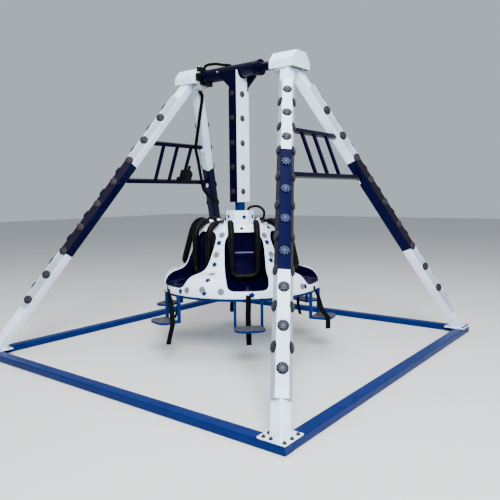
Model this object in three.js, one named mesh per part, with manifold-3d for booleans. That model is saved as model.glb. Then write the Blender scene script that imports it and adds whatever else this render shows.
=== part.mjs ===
// A six-seat pendulum ride for children: two leaning A-frames on a square ground frame carry a cross tube,
// an arm swings under the tube, and a round gondola with six outward seats turns at the arm's foot.
// Millimetres. The origin is on the ground under the middle, +X runs along the cross tube, +Z is up.
import * as THREE from "three";
import { mergeVertices } from "three/addons/utils/BufferGeometryUtils.js";
import Module from "manifold-3d";

const wasm = await Module();
wasm.setup();

// Clearances
const SEAT_GAP = 0.3; // left between two pieces where one rests on or is fixed to the other
const FAR = 5000; // larger than the ride in every direction, for cutting boxes

// Ground frame and leg feet
const BASE = { halfX: 1765, halfY: 1833, beamWidth: 100, beamHeight: 60 };
const FOOT = { width: 210, thickness: 10 };
const FOOT_TOP = BASE.beamHeight + FOOT.thickness;

// Legs: square tubes whose axes meet in pairs at the apex of each A-frame
const LEG = {
  section: 100,
  corner: 9,
  footX: BASE.halfX - FOOT.width / 2,
  footY: BASE.halfY - FOOT.width / 2,
  apexX: 580,
  apexZ: 2780,
  top: 2690,
};
const COVER = {
  face: 87, // width of the flat front
  front: 70.5, // distance of the front from the leg's axis
  flangeOut: 71.5, // half the width over both flanges
  flangeBack: 4.5, // distance of the flange ends from the leg's axis
  sheet: 3,
  top: 2520, // height on the leg's axis
  bottom: 235,
  shortBottom: 450, // the front left leg has lost its lowest length of cover
};

// Ladder braces between the two legs of each A-frame
const BRACE = { rails: [1690, 2080], rail: 40, rung: 28, rungs: [-205, 0, 215] };

// Heads: what carries the cross tube at the top of each A-frame
const SHAFT_Z = 2750;
const SHAFT_RADIUS = 42.5;
const BORE_CLEARANCE = 0.3;
const SHAFT_SIDES = 40;
const SHROUD = {
  inner: 473,
  outer: 734,
  halfWidth: 147,
  topHalfWidth: 80,
  bottom: 2679,
  eaves: 2750,
  top: 2829,
  wall: 4,
};
const HEAD = {
  plate: 12,
  block: [572, 668],
  blockHalf: 78,
  blockRadius: 66,
  bracketInner: 482,
  bracketOuter: 572,
  bracketHalf: 62,
  bracketDrop: 58,
};

// Cross tube and arm
const TUBE = { radius: 67.5, left: -432, right: 285, flange: 76, flangeFrom: 247 };
const RING = { outer: 82, from: -468, to: -434 };
const ARM = { halfX: 44, halfY: 102, bottom: 1461, top: 2745 };
const GUSSET = { reach: 150, low: 2592, high: 2694, from: 77 };
const ARM_COVER = { sheet: 4, stepZ: 2559, narrow: 75, round: 78 };
const NECK = { radius: 50, bottom: 1376.5, spindle: 30, flange: 58, flangeThickness: 12 };

// Gondola: the shell's outer profile as radius and height, from the rim's underside up to the crown
const SEATS = 6;
const FIRST_SEAT = -47; // degrees from +X of the seat nearest the front
const SHELL_BOTTOM = 610;
const SHELL_PROFILE = [
  [795, SHELL_BOTTOM],
  [800, 618],
  [800, 655],
  [791, 700],
  [768, 742],
  [735, 775],
  [690, 795],
  [640, 808],
  [595, 825],
  [555, 860],
  [524, 920],
  [498, 985],
  [468, 1055],
  [438, 1115],
  [402, 1172],
  [368, 1215],
  [330, 1245],
  [300, 1255],
];
const SHELL_TOP = 1255;
const SHELL_SIDES = 60;
const LIP_Z = 678; // bottom of each seat recess
const RECESS_BACK = 300;
const RECESS_PLAN = [
  [RECESS_BACK, 140],
  [410, 185],
  [560, 190],
  [900, 190],
];
const RECESS_FRONT = [
  [125, LIP_Z],
  [161, 688],
  [182, 713],
  [191, 762],
  [191, 1000],
  [181, 1085],
  [151, 1145],
  [100, 1180],
];
const TUB_TOP = 1179.5;
const TUB_PROFILE = [
  [300.5, 678.5],
  [768, 678.5],
  [762, 686],
  [700, 690],
  [600, 702],
  [480, 716],
  [420, 730],
  [380, 755],
  [358, 790],
  [340, 850],
  [324, 1150],
  [320, TUB_TOP],
  [300.5, TUB_TOP],
];
const TUB_GAP = 0.6;
const CROWN = {
  radius: 140,
  wall: 10,
  top: 1376,
  roof: 10,
  flange: 296,
  flangeThickness: 8,
  hole: 31,
};

// Restraints: one padded U bar over each seat, hinged on the crown
const RESTRAINT = {
  pivotR: 300,
  pivotZ: 1277,
  half: 122,
  arm: 13.5, // radius of the bare tube between the hinge and the foam
  collar: 23, // radius of the foam's tapered end
  tube: 30,
  sleeve: 15,
  sleeveLength: 44,
  pin: 8,
  lug: [84, 97],
  sides: 10,
  steps: 36,
};
const ARM_ROUTE = [
  [300, 1277],
  [345, 1270],
  [392, 1249],
];
const COLLAR_ROUTE = [
  [353, 1267],
  [392, 1249],
];
const BAR_ROUTE = [
  [373, 1257.5],
  [400, 1243],
  [426, 1217],
  [443, 1183],
  [452, 1140],
  [455, 1080],
  [456, 980],
  [457, 900],
  [458, 838],
];
const BAR_FOOT = { radius: 70, drop: 70, reach: 4 };
const REST_TILT = [0, 12.5, 0, 0, 17, 0]; // degrees by which each bar hangs outwards at rest
const LUG_OUTLINE = [
  [256, 1262.3],
  [281, 1262.3],
  [296, 1265],
  [307, 1269],
  [311, 1277],
  [307, 1286],
  [298, 1289],
  [286, 1287],
  [262, 1274],
];

// Ring under the rim, footrests and belts
const HOOP = { inner: 745, outer: 785.7, height: 25 };
const REST = { half: 120.5, post: 25, postFrom: 772, postTo: 803.6, postTop: 606, top: 368, depth: 20 };
const REST_PLAN = [
  [787, 130],
  [930, 137],
  [972, 100],
  [985, 55],
];
const BELT = { half: 24, thickness: 4, segments: 18, turnedSegments: 60 };
// Radius, distance along the seat's width, and height of each belt's middle line
const BELT_HANGING = [
  [802.3, 0, 648],
  [803, 0, 604],
  [783, 0, 520],
  [768, 0, 420],
  [768, 0, 330],
  [782, 0, 262],
  [806, 0, 196],
];
const BELT_LEANING = [
  [802.3, 0, 648],
  [803, 2, 604],
  [783, 14, 520],
  [768, 30, 420],
  [768, 40, 330],
  [782, 45, 250],
  [798, 46, 163],
];
const BELT_OVER_CORNER = [
  [801.9, -50, 655],
  [802.3, -50, 638],
  [820, -57, 603],
  [846.5, -68, 564],
  [870, -83, 499],
  [896, -98, 436],
  [922, -107, 406],
  [945, -113, 387],
  [954.5, -117, 376],
  [958.8, -118, 362],
  [959.2, -118, 340],
  [959.2, -118, 310],
  [958.4, -117.4, 267],
];
const BELT_OVER_SIDE = [
  [801.8, -50, 648],
  [802.3, -48, 628],
  [804.5, -35, 590],
  [818, 14, 536],
  [832, 55, 488],
  [850, 100, 423],
  [861, 128, 388],
  [866, 140, 365],
  [872, 143.5, 340],
  [878.5, 143, 315],
  [893, 134, 249],
  [908, 124, 164],
];
// Belts that do not hang straight, by seat, and how far each turns about its own line, in degrees
const BELT_LIES = {
  2: { route: BELT_OVER_CORNER, twist: 48 },
  4: { route: BELT_LEANING, twist: 0 },
  6: { route: BELT_OVER_SIDE, twist: -90 },
};

// Cables, and the lamp on the left brace
const CONDUIT_RADIUS = 14;
const HUB_CONDUIT_ROUTE = [
  [-450, 0, 2832.6],
  [-450, 0, 2843],
  [-437, 0, 2859],
  [-410, 0, 2868],
  [-373, 0, 2870],
  [-284, 0, 2864],
  [-206, 0, 2850],
  [-120, 0, 2832.2],
];
const CROWN_CONDUIT = { radius: 13, bearing: 37.4 };
const CROWN_CONDUIT_ROUTE = [
  [84, 1377],
  [85, 1392],
  [110, 1410],
  [160, 1417],
  [208, 1403],
  [242, 1362],
  [240, 1312],
  [228, 1286],
  [227, 1264.6],
];
const CABLE = { radius: 18 };
const CABLE_ROUTE = [
  [-556, 48, 2631],
  [-556, 48.6, 2614],
  [-579, 101.3, 2580],
  [-634.5, 132.9, 2453],
  [-726.5, 184.9, 2251],
  [-813.5, 238.9, 2085],
  [-831.5, 257.9, 2043],
  [-869.5, 331.9, 1936],
  [-922.5, 419.9, 1803],
  [-966.5, 495.9, 1701],
  [-983.5, 524, 1660],
  [-999.5, 570, 1595],
  [-1005.5, 638, 1541],
  [-1017.5, 708, 1499],
  [-1031.2, 785.4, 1463],
];
const LAMP = { from: 128, to: 240, low: 46, high: 162, depth: 92, roof: 26, handle: [36, 64, 14] };

// Turns a three.js geometry into a solid that can be cut and joined
function solid(geometry) {
  const bare = geometry.index ? geometry.toNonIndexed() : geometry.clone();
  bare.deleteAttribute("normal");
  bare.deleteAttribute("uv");
  const merged = mergeVertices(bare, 1e-3);
  const index = merged.index.array;
  const kept = [];
  for (let i = 0; i < index.length; i += 3) {
    const [a, b, c] = [index[i], index[i + 1], index[i + 2]];
    if (a !== b && b !== c && c !== a) kept.push(a, b, c);
  }
  return new wasm.Manifold(
    new wasm.Mesh({
      numProp: 3,
      vertProperties: merged.attributes.position.array,
      triVerts: new Uint32Array(kept),
    }),
  );
}

// Turns a solid back into a three.js geometry
function geometryOf(body) {
  const mesh = body.getMesh();
  const geometry = new THREE.BufferGeometry();
  geometry.setAttribute("position", new THREE.BufferAttribute(new Float32Array(mesh.vertProperties), 3));
  geometry.setIndex(new THREE.BufferAttribute(new Uint32Array(mesh.triVerts), 1));
  const flat = geometry.toNonIndexed();
  flat.computeVertexNormals();
  return flat;
}

function box([x0, x1], [y0, y1], [z0, z1]) {
  const geometry = new THREE.BoxGeometry(x1 - x0, y1 - y0, z1 - z0);
  return geometry.translate((x0 + x1) / 2, (y0 + y1) / 2, (z0 + z1) / 2);
}

// Places a geometry that was built along local axes into the ride's frame
function place(geometry, xAxis, yAxis, zAxis, origin) {
  const matrix = new THREE.Matrix4().makeBasis(xAxis, yAxis, zAxis).setPosition(origin);
  return geometry.applyMatrix4(matrix);
}

const X = new THREE.Vector3(1, 0, 0);
const Y = new THREE.Vector3(0, 1, 0);
const Z = new THREE.Vector3(0, 0, 1);

// Extrudes an outline of local x and y points along local z
function prism(outline, depth) {
  const shape = new THREE.Shape(outline.map(([x, y]) => new THREE.Vector2(x, y)));
  return new THREE.ExtrudeGeometry(shape, { depth, bevelEnabled: false });
}

// An outline of y and z points, extruded along X
function prismAlongX(outline, x0, x1) {
  return place(prism(outline, x1 - x0), Y, Z, X, new THREE.Vector3(x0, 0, 0));
}

// An outline of x and z points, extruded along Y
function prismAlongY(outline, y0, y1) {
  const turned = outline.map(([x, z]) => [z, x]);
  return place(prism(turned, y1 - y0), Z, X, Y, new THREE.Vector3(0, y0, 0));
}

function rod(radius, x0, x1, sides, y = 0, z = SHAFT_Z) {
  const geometry = new THREE.CylinderGeometry(radius, radius, x1 - x0, sides);
  return geometry.rotateZ(-Math.PI / 2).translate((x0 + x1) / 2, y, z);
}

// Revolves a profile of radius and height about the vertical axis
function turned(profile, sides) {
  const points = profile.map(([r, z]) => new THREE.Vector2(r, z));
  return new THREE.LatheGeometry(points, sides).rotateX(Math.PI / 2);
}

function tubeAlong(points, radius, steps, sides) {
  const path = new THREE.CatmullRomCurve3(points, false, "centripetal");
  const section = new THREE.Shape();
  section.absarc(0, 0, radius, 0, 2 * Math.PI);
  const geometry = new THREE.ExtrudeGeometry(section, {
    steps,
    extrudePath: path,
    bevelEnabled: false,
    curveSegments: sides / 2,
  });
  return geometry;
}

const FINISHES = {
  whitePaint: { color: 0xe8edf2, roughness: 0.35, metalness: 0 },
  bluePaint: { color: 0x10388c, roughness: 0.4, metalness: 0 },
  navyPaint: { color: 0x14123c, roughness: 0.35, metalness: 0 },
  steel: { color: 0x9a9ca0, roughness: 0.45, metalness: 0.9 },
  fibreglass: { color: 0xf2f4f6, roughness: 0.2, metalness: 0 },
  navyGloss: { color: 0x100c34, roughness: 0.15, metalness: 0 },
  padding: { color: 0x141416, roughness: 0.7, metalness: 0 },
  rubber: { color: 0x101012, roughness: 0.8, metalness: 0 },
  webbing: { color: 0x0c0c0e, roughness: 0.9, metalness: 0 },
};

const ride = new THREE.Group();

function add(name, body, finish) {
  const mesh = new THREE.Mesh(geometryOf(body), new THREE.MeshStandardMaterial(FINISHES[finish]));
  mesh.name = name;
  ride.add(mesh);
}

// Ground frame of four rectangular tubes, long ones along X
function groundFrame() {
  const { halfX, halfY, beamWidth, beamHeight } = BASE;
  const height = [0, beamHeight];
  const between = [-halfY + beamWidth, halfY - beamWidth];
  add("base_beam_front", solid(box([-halfX, halfX], [-halfY, -halfY + beamWidth], height)), "bluePaint");
  add("base_beam_rear", solid(box([-halfX, halfX], [halfY - beamWidth, halfY], height)), "bluePaint");
  add("base_beam_right", solid(box([halfX - beamWidth, halfX], between, height)), "bluePaint");
  add("base_beam_left", solid(box([-halfX, -halfX + beamWidth], between, height)), "bluePaint");
}

// The four legs: the sides of X and Y on which each stands
const LEGS = [
  { name: "front_right", sx: 1, sy: -1, coverBottom: COVER.bottom },
  { name: "rear_right", sx: 1, sy: 1, coverBottom: COVER.bottom },
  { name: "front_left", sx: -1, sy: -1, coverBottom: COVER.shortBottom },
  { name: "rear_left", sx: -1, sy: 1, coverBottom: COVER.bottom },
];

// The point of a leg's axis at a height
function legAxis({ sx, sy }, z) {
  const share = (z - FOOT_TOP) / (LEG.apexZ - FOOT_TOP);
  return new THREE.Vector3(
    sx * (LEG.footX + (LEG.apexX - LEG.footX) * share),
    sy * LEG.footY * (1 - share),
    z,
  );
}

// Directions of a leg: along it, out through the tube's outer corner, and sideways.
// The tube's faces lie in and square to the plane of its A-frame.
function legFrame(leg) {
  const along = legAxis(leg, LEG.apexZ).sub(legAxis(leg, FOOT_TOP)).normalize();
  const faceX = new THREE.Vector3().crossVectors(along, Y).normalize();
  if (faceX.x * leg.sx < 0) faceX.negate();
  const faceY = new THREE.Vector3().crossVectors(along, faceX).normalize();
  if (faceY.y * leg.sy < 0) faceY.negate();
  const outward = faceX.clone().add(faceY).normalize();
  const sideways = new THREE.Vector3().crossVectors(outward, along);
  return { along, faceX, faceY, outward, sideways };
}

function roundedSquare(half, corner) {
  const inner = half - corner;
  const shape = new THREE.Shape();
  shape.absarc(inner, inner, corner, 0, Math.PI / 2);
  shape.absarc(-inner, inner, corner, Math.PI / 2, Math.PI);
  shape.absarc(-inner, -inner, corner, Math.PI, 1.5 * Math.PI);
  shape.absarc(inner, -inner, corner, 1.5 * Math.PI, 2 * Math.PI);
  return shape;
}

// A leg's square tube, from below its foot to past the apex
function legTube(leg, section, corner) {
  const { along, faceX } = legFrame(leg);
  const across = new THREE.Vector3().crossVectors(along, faceX);
  const start = legAxis(leg, FOOT_TOP - section);
  const depth = legAxis(leg, LEG.apexZ + section).distanceTo(start);
  const geometry = new THREE.ExtrudeGeometry(roundedSquare(section / 2, corner), {
    depth,
    bevelEnabled: false,
    curveSegments: 3,
  });
  return solid(place(geometry, faceX, across, along, start));
}

// The half of space on a leg's side of the middle plane, between two heights
function legSpace(leg, z0, z1) {
  const side = leg.sy > 0 ? [SEAT_GAP / 2, FAR] : [-FAR, -SEAT_GAP / 2];
  return solid(box([-FAR, FAR], side, [z0, z1]));
}

function legWithFoot(leg) {
  const tube = legTube(leg, LEG.section, LEG.corner).intersect(
    legSpace(leg, FOOT_TOP - FOOT.thickness / 2, LEG.top - SEAT_GAP),
  );
  const outerX = leg.sx * BASE.halfX;
  const outerY = leg.sy * BASE.halfY;
  const xs = [outerX, outerX - leg.sx * FOOT.width].sort((a, b) => a - b);
  const ys = [outerY, outerY - leg.sy * FOOT.width].sort((a, b) => a - b);
  const foot = solid(box(xs, ys, [BASE.beamHeight, FOOT_TOP]));
  return tube.add(foot);
}

// Bent sheet over the outer half of a leg: a flat front and two flanges that fold back
function legCover(leg) {
  const { along, outward, sideways } = legFrame(leg);
  const { face, front, flangeOut, flangeBack, sheet } = COVER;
  const outer = [
    [-flangeOut, flangeBack],
    [-face / 2, front],
    [face / 2, front],
    [flangeOut, flangeBack],
  ];
  const inner = [
    [flangeOut - sheet, flangeBack],
    [face / 2 - sheet * 0.6, front - sheet],
    [-face / 2 + sheet * 0.6, front - sheet],
    [-flangeOut + sheet, flangeBack],
  ];
  const start = legAxis(leg, leg.coverBottom);
  const depth = legAxis(leg, COVER.top).distanceTo(start);
  return solid(place(prism([...outer, ...inner], depth), sideways, outward, along, start));
}

function legs() {
  for (const leg of LEGS) {
    add("leg_" + leg.name, legWithFoot(leg), "whitePaint");
    add("leg_cover_" + leg.name, legCover(leg), "whitePaint");
  }
}

// The plane of an A-frame: up its slope, in towards the arm, and the middles of the brace's two rails
function bracePlane(side) {
  const leg = LEGS.find((one) => one.sx === side);
  const { along, faceX } = legFrame(leg);
  const slope = new THREE.Vector3(along.x, 0, along.z).normalize();
  const [low, high] = BRACE.rails.map((z) => new THREE.Vector3(legAxis(leg, z).x, 0, z));
  return { slope, inwards: faceX.clone().negate(), low, high };
}

// A ladder brace lies in the plane of its A-frame: two rails cut to the legs, and three rungs
function ladderBrace(side) {
  const pair = LEGS.filter((leg) => leg.sx === side);
  const { slope, inwards, low, high } = bracePlane(side);
  const axes = [inwards, new THREE.Vector3().crossVectors(slope, inwards), slope];
  let body = null;
  for (const point of [low, high]) {
    const reach = Math.abs(legAxis(pair[0], point.z).y);
    const geometry = new THREE.BoxGeometry(BRACE.rail, 2 * reach, BRACE.rail);
    const rail = solid(place(geometry, ...axes, point));
    body = body ? body.add(rail) : rail;
  }
  for (const y of BRACE.rungs) {
    const geometry = new THREE.BoxGeometry(BRACE.rung, BRACE.rung, high.distanceTo(low));
    const middle = low.clone().add(high).multiplyScalar(0.5).setY(y);
    body = body.add(solid(place(geometry, ...axes, middle)));
  }
  for (const leg of pair) {
    body = body.subtract(legTube(leg, LEG.section + 2 * SEAT_GAP, LEG.corner));
  }
  return body;
}

// A head: a plate on the two mitred leg tops, a bearing block round the shaft and a bracket below
function head(side) {
  const inside = SHROUD.wall + SEAT_GAP;
  const plateX = [SHROUD.inner + inside, SHROUD.outer - inside];
  const plateY = SHROUD.halfWidth - inside;
  const blockLow = LEG.top + HEAD.plate;
  const { blockHalf, blockRadius } = HEAD;
  const arch = new THREE.Shape();
  arch.moveTo(-blockHalf, blockLow - 1);
  arch.lineTo(blockHalf, blockLow - 1);
  arch.lineTo(blockHalf, blockLow + 16);
  arch.absarc(0, SHAFT_Z, blockRadius, 0, Math.PI);
  arch.lineTo(-blockHalf, blockLow + 16);
  const blockGeometry = new THREE.ExtrudeGeometry(arch, {
    depth: HEAD.block[1] - HEAD.block[0],
    bevelEnabled: false,
    curveSegments: 12,
  });
  const block = solid(place(blockGeometry, Y, Z, X, new THREE.Vector3(HEAD.block[0], 0, 0)));
  const plate = solid(box(plateX, [-plateY, plateY], [LEG.top, blockLow]));
  const { bracketInner, bracketOuter, bracketHalf, bracketDrop } = HEAD;
  const bracketOutline = [
    [bracketInner, LEG.top + 1],
    [bracketInner, LEG.top - bracketDrop / 2],
    [bracketInner + bracketDrop / 2, LEG.top - bracketDrop],
    [bracketOuter, LEG.top - bracketDrop],
    [bracketOuter, LEG.top + 1],
  ];
  const bracket = solid(prismAlongY(bracketOutline, -bracketHalf, bracketHalf));
  const boreRadius = (SHAFT_RADIUS + BORE_CLEARANCE) / Math.cos(Math.PI / SHAFT_SIDES);
  const bore = solid(rod(boreRadius, 0, FAR, SHAFT_SIDES));
  let body = plate.add(block).add(bracket).subtract(bore);
  for (const leg of LEGS.filter((one) => one.sx > 0)) {
    const tube = legTube(leg, LEG.section + 2 * SEAT_GAP, LEG.corner);
    body = body.subtract(tube.intersect(legSpace(leg, 0, LEG.top)));
  }
  return side > 0 ? body : mirrored(body);
}

// The mirror image across the plane X = 0
function mirrored(body) {
  const mesh = body.getMesh();
  const positions = new Float32Array(mesh.vertProperties);
  const corners = new Uint32Array(mesh.triVerts);
  for (let i = 0; i < positions.length; i += 3) positions[i] = -positions[i];
  for (let i = 0; i < corners.length; i += 3) {
    [corners[i + 1], corners[i + 2]] = [corners[i + 2], corners[i + 1]];
  }
  return new wasm.Manifold(new wasm.Mesh({ numProp: 3, vertProperties: positions, triVerts: corners }));
}

// The shroud over a head: a hollow sheet box with sloped shoulders, open below and slotted for the shaft
function shroud(side) {
  const outline = (inset) => [
    [-SHROUD.halfWidth + inset, SHROUD.bottom],
    [SHROUD.halfWidth - inset, SHROUD.bottom],
    [SHROUD.halfWidth - inset, SHROUD.eaves - inset / 2],
    [SHROUD.topHalfWidth - inset / 2, SHROUD.top - inset],
    [-SHROUD.topHalfWidth + inset / 2, SHROUD.top - inset],
    [-SHROUD.halfWidth + inset, SHROUD.eaves - inset / 2],
  ];
  const { wall, inner, outer } = SHROUD;
  const shell = solid(prismAlongX(outline(0), inner, outer));
  const hollow = solid(prismAlongX(outline(wall), inner + wall, outer - wall));
  const inside = SHROUD.halfWidth - wall;
  const below = solid(box([inner + wall, outer - wall], [-inside, inside], [2600, SHROUD.bottom + 1]));
  const slotHalf = SHAFT_RADIUS + wall;
  const slot = solid(box([inner - wall, inner + 2 * wall], [-slotHalf, slotHalf], [2600, SHAFT_Z]));
  const slotRound = solid(rod(slotHalf, inner - wall, inner + 2 * wall, SHAFT_SIDES));
  const body = shell.subtract(hollow).subtract(below).subtract(slot).subtract(slotRound);
  return side > 0 ? body : mirrored(body);
}

function heads() {
  for (const [name, side] of [["right", 1], ["left", -1]]) {
    add("brace_" + name, ladderBrace(side), "navyPaint");
    add("head_" + name, head(side), "steel");
    add("shroud_" + name, shroud(side), "whitePaint");
  }
}

// Cross tube with its end shafts, turned as one piece
function crossTube() {
  const end = SHROUD.outer - 2 * SHROUD.wall - 20;
  const profile = [
    [0, -end],
    [SHAFT_RADIUS, -end],
    [SHAFT_RADIUS, TUBE.left],
    [TUBE.radius, TUBE.left],
    [TUBE.radius, TUBE.flangeFrom],
    [TUBE.flange, TUBE.flangeFrom],
    [TUBE.flange, TUBE.right],
    [SHAFT_RADIUS, TUBE.right],
    [SHAFT_RADIUS, end],
    [0, end],
  ];
  const geometry = turned(profile, SHAFT_SIDES);
  return solid(geometry.rotateY(Math.PI / 2).translate(0, 0, SHAFT_Z));
}

// Ring clamped on the shaft at the left end of the cross tube, where the cable enters
function clampRing() {
  const boreRadius = (SHAFT_RADIUS + BORE_CLEARANCE) / Math.cos(Math.PI / SHAFT_SIDES);
  const ring = solid(rod(RING.outer, RING.from, RING.to, SHAFT_SIDES));
  return ring.subtract(solid(rod(boreRadius, RING.from - 10, RING.to + 10, SHAFT_SIDES)));
}

// The arm: a box beam under the cross tube, with one gusset plate on each side
function armBeam() {
  const { halfX, halfY, bottom, top } = ARM;
  const beam = solid(box([-halfX, halfX], [-halfY, halfY], [bottom, top]));
  const plate = [
    [halfX - 1, GUSSET.low],
    [GUSSET.reach, GUSSET.high],
    [GUSSET.reach, top],
    [halfX - 1, top],
  ];
  const pad = [
    [halfX + 8, GUSSET.high - 8],
    [GUSSET.reach, GUSSET.high - 8],
    [GUSSET.reach, GUSSET.high + 26],
    [halfX + 8, GUSSET.high + 26],
  ];
  const right = solid(prismAlongY(plate, GUSSET.from, halfY)).add(
    solid(prismAlongY(pad, 55, GUSSET.from + 1)),
  );
  const left = solid(
    prismAlongY(plate.map(([x, z]) => [-x, z]), -halfY, -GUSSET.from),
  ).add(solid(prismAlongY(pad.map(([x, z]) => [-x, z]), -GUSSET.from - 1, -55)));
  const saddle = solid(rod(TUBE.radius + SEAT_GAP, -FAR, FAR, SHAFT_SIDES));
  return beam.add(right).add(left).subtract(saddle);
}

// White plate on a wide side of the arm, cut round the cross tube and narrower at the top
function armCover(side) {
  const { halfX, halfY, bottom, top } = ARM;
  const { sheet, stepZ, narrow, round } = ARM_COVER;
  const outline = [
    [-halfY, bottom],
    [halfY, bottom],
    [halfY, stepZ],
    [narrow, stepZ],
    [narrow, top],
    [-halfY, top],
  ].map(([y, z]) => [side * y, z]);
  const near = halfX + SEAT_GAP;
  const xs = [side * near, side * (near + sheet)].sort((a, b) => a - b);
  const plate = solid(prismAlongX(outline, ...xs));
  const cut = plate.subtract(solid(rod(round, -FAR, FAR, SHAFT_SIDES)));
  const spare = side > 0 ? [round - 12, FAR] : [-FAR, 12 - round];
  const sliver = solid(box([-FAR, FAR], spare, [SHAFT_Z - 25, FAR]));
  return cut.subtract(sliver);
}

// Round neck under the arm, with the spindle and flange that hold the gondola
function armNeck() {
  const roofUnder = CROWN.top - CROWN.roof;
  const flangeTop = roofUnder - SEAT_GAP;
  return solid(
    turned(
      [
        [0, flangeTop - NECK.flangeThickness],
        [NECK.flange, flangeTop - NECK.flangeThickness],
        [NECK.flange, flangeTop],
        [NECK.spindle, flangeTop],
        [NECK.spindle, NECK.bottom],
        [NECK.radius, NECK.bottom],
        [NECK.radius, ARM.bottom - SEAT_GAP],
        [0, ARM.bottom - SEAT_GAP],
      ],
      32,
    ),
  );
}

function swingingArm() {
  add("cross_tube", crossTube(), "navyPaint");
  add("shaft_clamp_ring", clampRing(), "rubber");
  add("arm_beam", armBeam(), "navyPaint");
  add("arm_cover_right", armCover(1), "whitePaint");
  add("arm_cover_left", armCover(-1), "whitePaint");
  add("arm_neck", armNeck(), "bluePaint");
  const route = HUB_CONDUIT_ROUTE.map((point) => new THREE.Vector3(...point));
  add("hub_conduit", solid(tubeAlong(route, CONDUIT_RADIUS, 24, 8)), "rubber");
}

// Directions of a seat: outwards from the middle, and along the seat's width
function seatFrame(number) {
  const angle = THREE.MathUtils.degToRad(FIRST_SEAT + (360 / SEATS) * (number - 1));
  const out = new THREE.Vector3(Math.cos(angle), Math.sin(angle), 0);
  return { out, across: new THREE.Vector3(-Math.sin(angle), Math.cos(angle), 0) };
}

const ORIGIN = new THREE.Vector3(0, 0, 0);
const seatNumbers = Array.from({ length: SEATS }, (_, i) => i + 1);

// Mirrors a half outline of x and y across x = 0 and closes it
function bothSides(half) {
  return [...half, ...half.map(([x, y]) => [-x, y]).reverse()];
}

// The space of a seat recess, shrunk by a gap for the piece that fills it
function recess(number, gap) {
  const { out, across } = seatFrame(number);
  const plan = RECESS_PLAN.map(([r, half]) => [r, half - gap]);
  const planOutline = [...plan, ...plan.map(([r, half]) => [r, -half]).reverse()];
  const planBody = solid(place(prism(planOutline, 2 * FAR), out, across, Z, new THREE.Vector3(0, 0, -FAR)));
  const front = bothSides(RECESS_FRONT.map(([half, z]) => [half - gap, z]));
  const frontBody = solid(place(prism(front, FAR), across, Z, out, ORIGIN));
  return planBody.intersect(frontBody);
}

// White moulded shell: a turned bell with six seat recesses
function shell() {
  const profile = [[0, SHELL_BOTTOM], ...SHELL_PROFILE, [0, SHELL_TOP]];
  let body = solid(turned(profile, SHELL_SIDES));
  for (const number of seatNumbers) body = body.subtract(recess(number, 0));
  return body;
}

// Seat tub: the back and the pan of one recess
function seatTub(number) {
  const { out, across } = seatFrame(number);
  const start = across.clone().multiplyScalar(-FAR);
  const geometry = prism(TUB_PROFILE.map(([r, z]) => [z, r]), 2 * FAR);
  return solid(place(geometry, Z, out, across, start)).intersect(recess(number, TUB_GAP));
}

// A box in a seat's own directions: outwards, along the width and up
function seatBox(number, [r0, r1], [a0, a1], [z0, z1]) {
  const { out, across } = seatFrame(number);
  return solid(place(box([r0, r1], [a0, a1], [z0, z1]), out, across, Z, ORIGIN));
}

// An outline of radius and height in a seat's own directions, extruded along its width
function seatPrism(number, outline, a0, a1) {
  const { out, across } = seatFrame(number);
  const start = across.clone().multiplyScalar(a1);
  return solid(place(prism(outline, a1 - a0), out, Z, across.clone().negate(), start));
}

function seatRod(number, radius, a0, a1, r, z, sides) {
  const { out, across } = seatFrame(number);
  const geometry = new THREE.CylinderGeometry(radius, radius, a1 - a0, sides);
  geometry.translate(0, (a0 + a1) / 2, 0);
  const origin = out.clone().multiplyScalar(r).setZ(z);
  return solid(place(geometry, out, across, Z, origin));
}

// Crown: a six-sided collar on a round plate, with the lugs and pins of the restraints
function crown() {
  const facing = THREE.MathUtils.degToRad(FIRST_SEAT + 30);
  const hexagon = (radius) =>
    seatNumbers.map((_, i) => {
      const angle = facing + (i * Math.PI) / 3;
      return [radius * Math.cos(angle), radius * Math.sin(angle)];
    });
  const low = SHELL_TOP + SEAT_GAP;
  const plateTop = low + CROWN.flangeThickness;
  const upright = (outline, z0, z1) => solid(prism(outline, z1 - z0).translate(0, 0, z0));
  const plate = new THREE.CylinderGeometry(CROWN.flange, CROWN.flange, CROWN.flangeThickness, 48);
  plate.rotateX(Math.PI / 2).translate(0, 0, (low + plateTop) / 2);
  const collar = upright(hexagon(CROWN.radius), plateTop - 1, CROWN.top);
  const hollow = upright(hexagon(CROWN.radius - CROWN.wall), plateTop, CROWN.top - CROWN.roof);
  const hole = new THREE.CylinderGeometry(CROWN.hole, CROWN.hole, 200, 32).rotateX(Math.PI / 2);
  let body = solid(plate).add(collar).subtract(hollow).subtract(solid(hole.translate(0, 0, CROWN.top)));
  const { pivotR, pivotZ, lug, pin, half, sleeveLength } = RESTRAINT;
  for (const number of seatNumbers) {
    for (const side of [-1, 1]) {
      const lugAcross = [side * lug[0], side * lug[1]].sort((a, b) => a - b);
      const pinAcross = [side * lug[0], side * (half + sleeveLength / 2 + 3)].sort((a, b) => a - b);
      body = body
        .add(seatPrism(number, LUG_OUTLINE, ...lugAcross))
        .add(seatRod(number, pin, ...pinAcross, pivotR, pivotZ, 12));
    }
  }
  return body;
}

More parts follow.
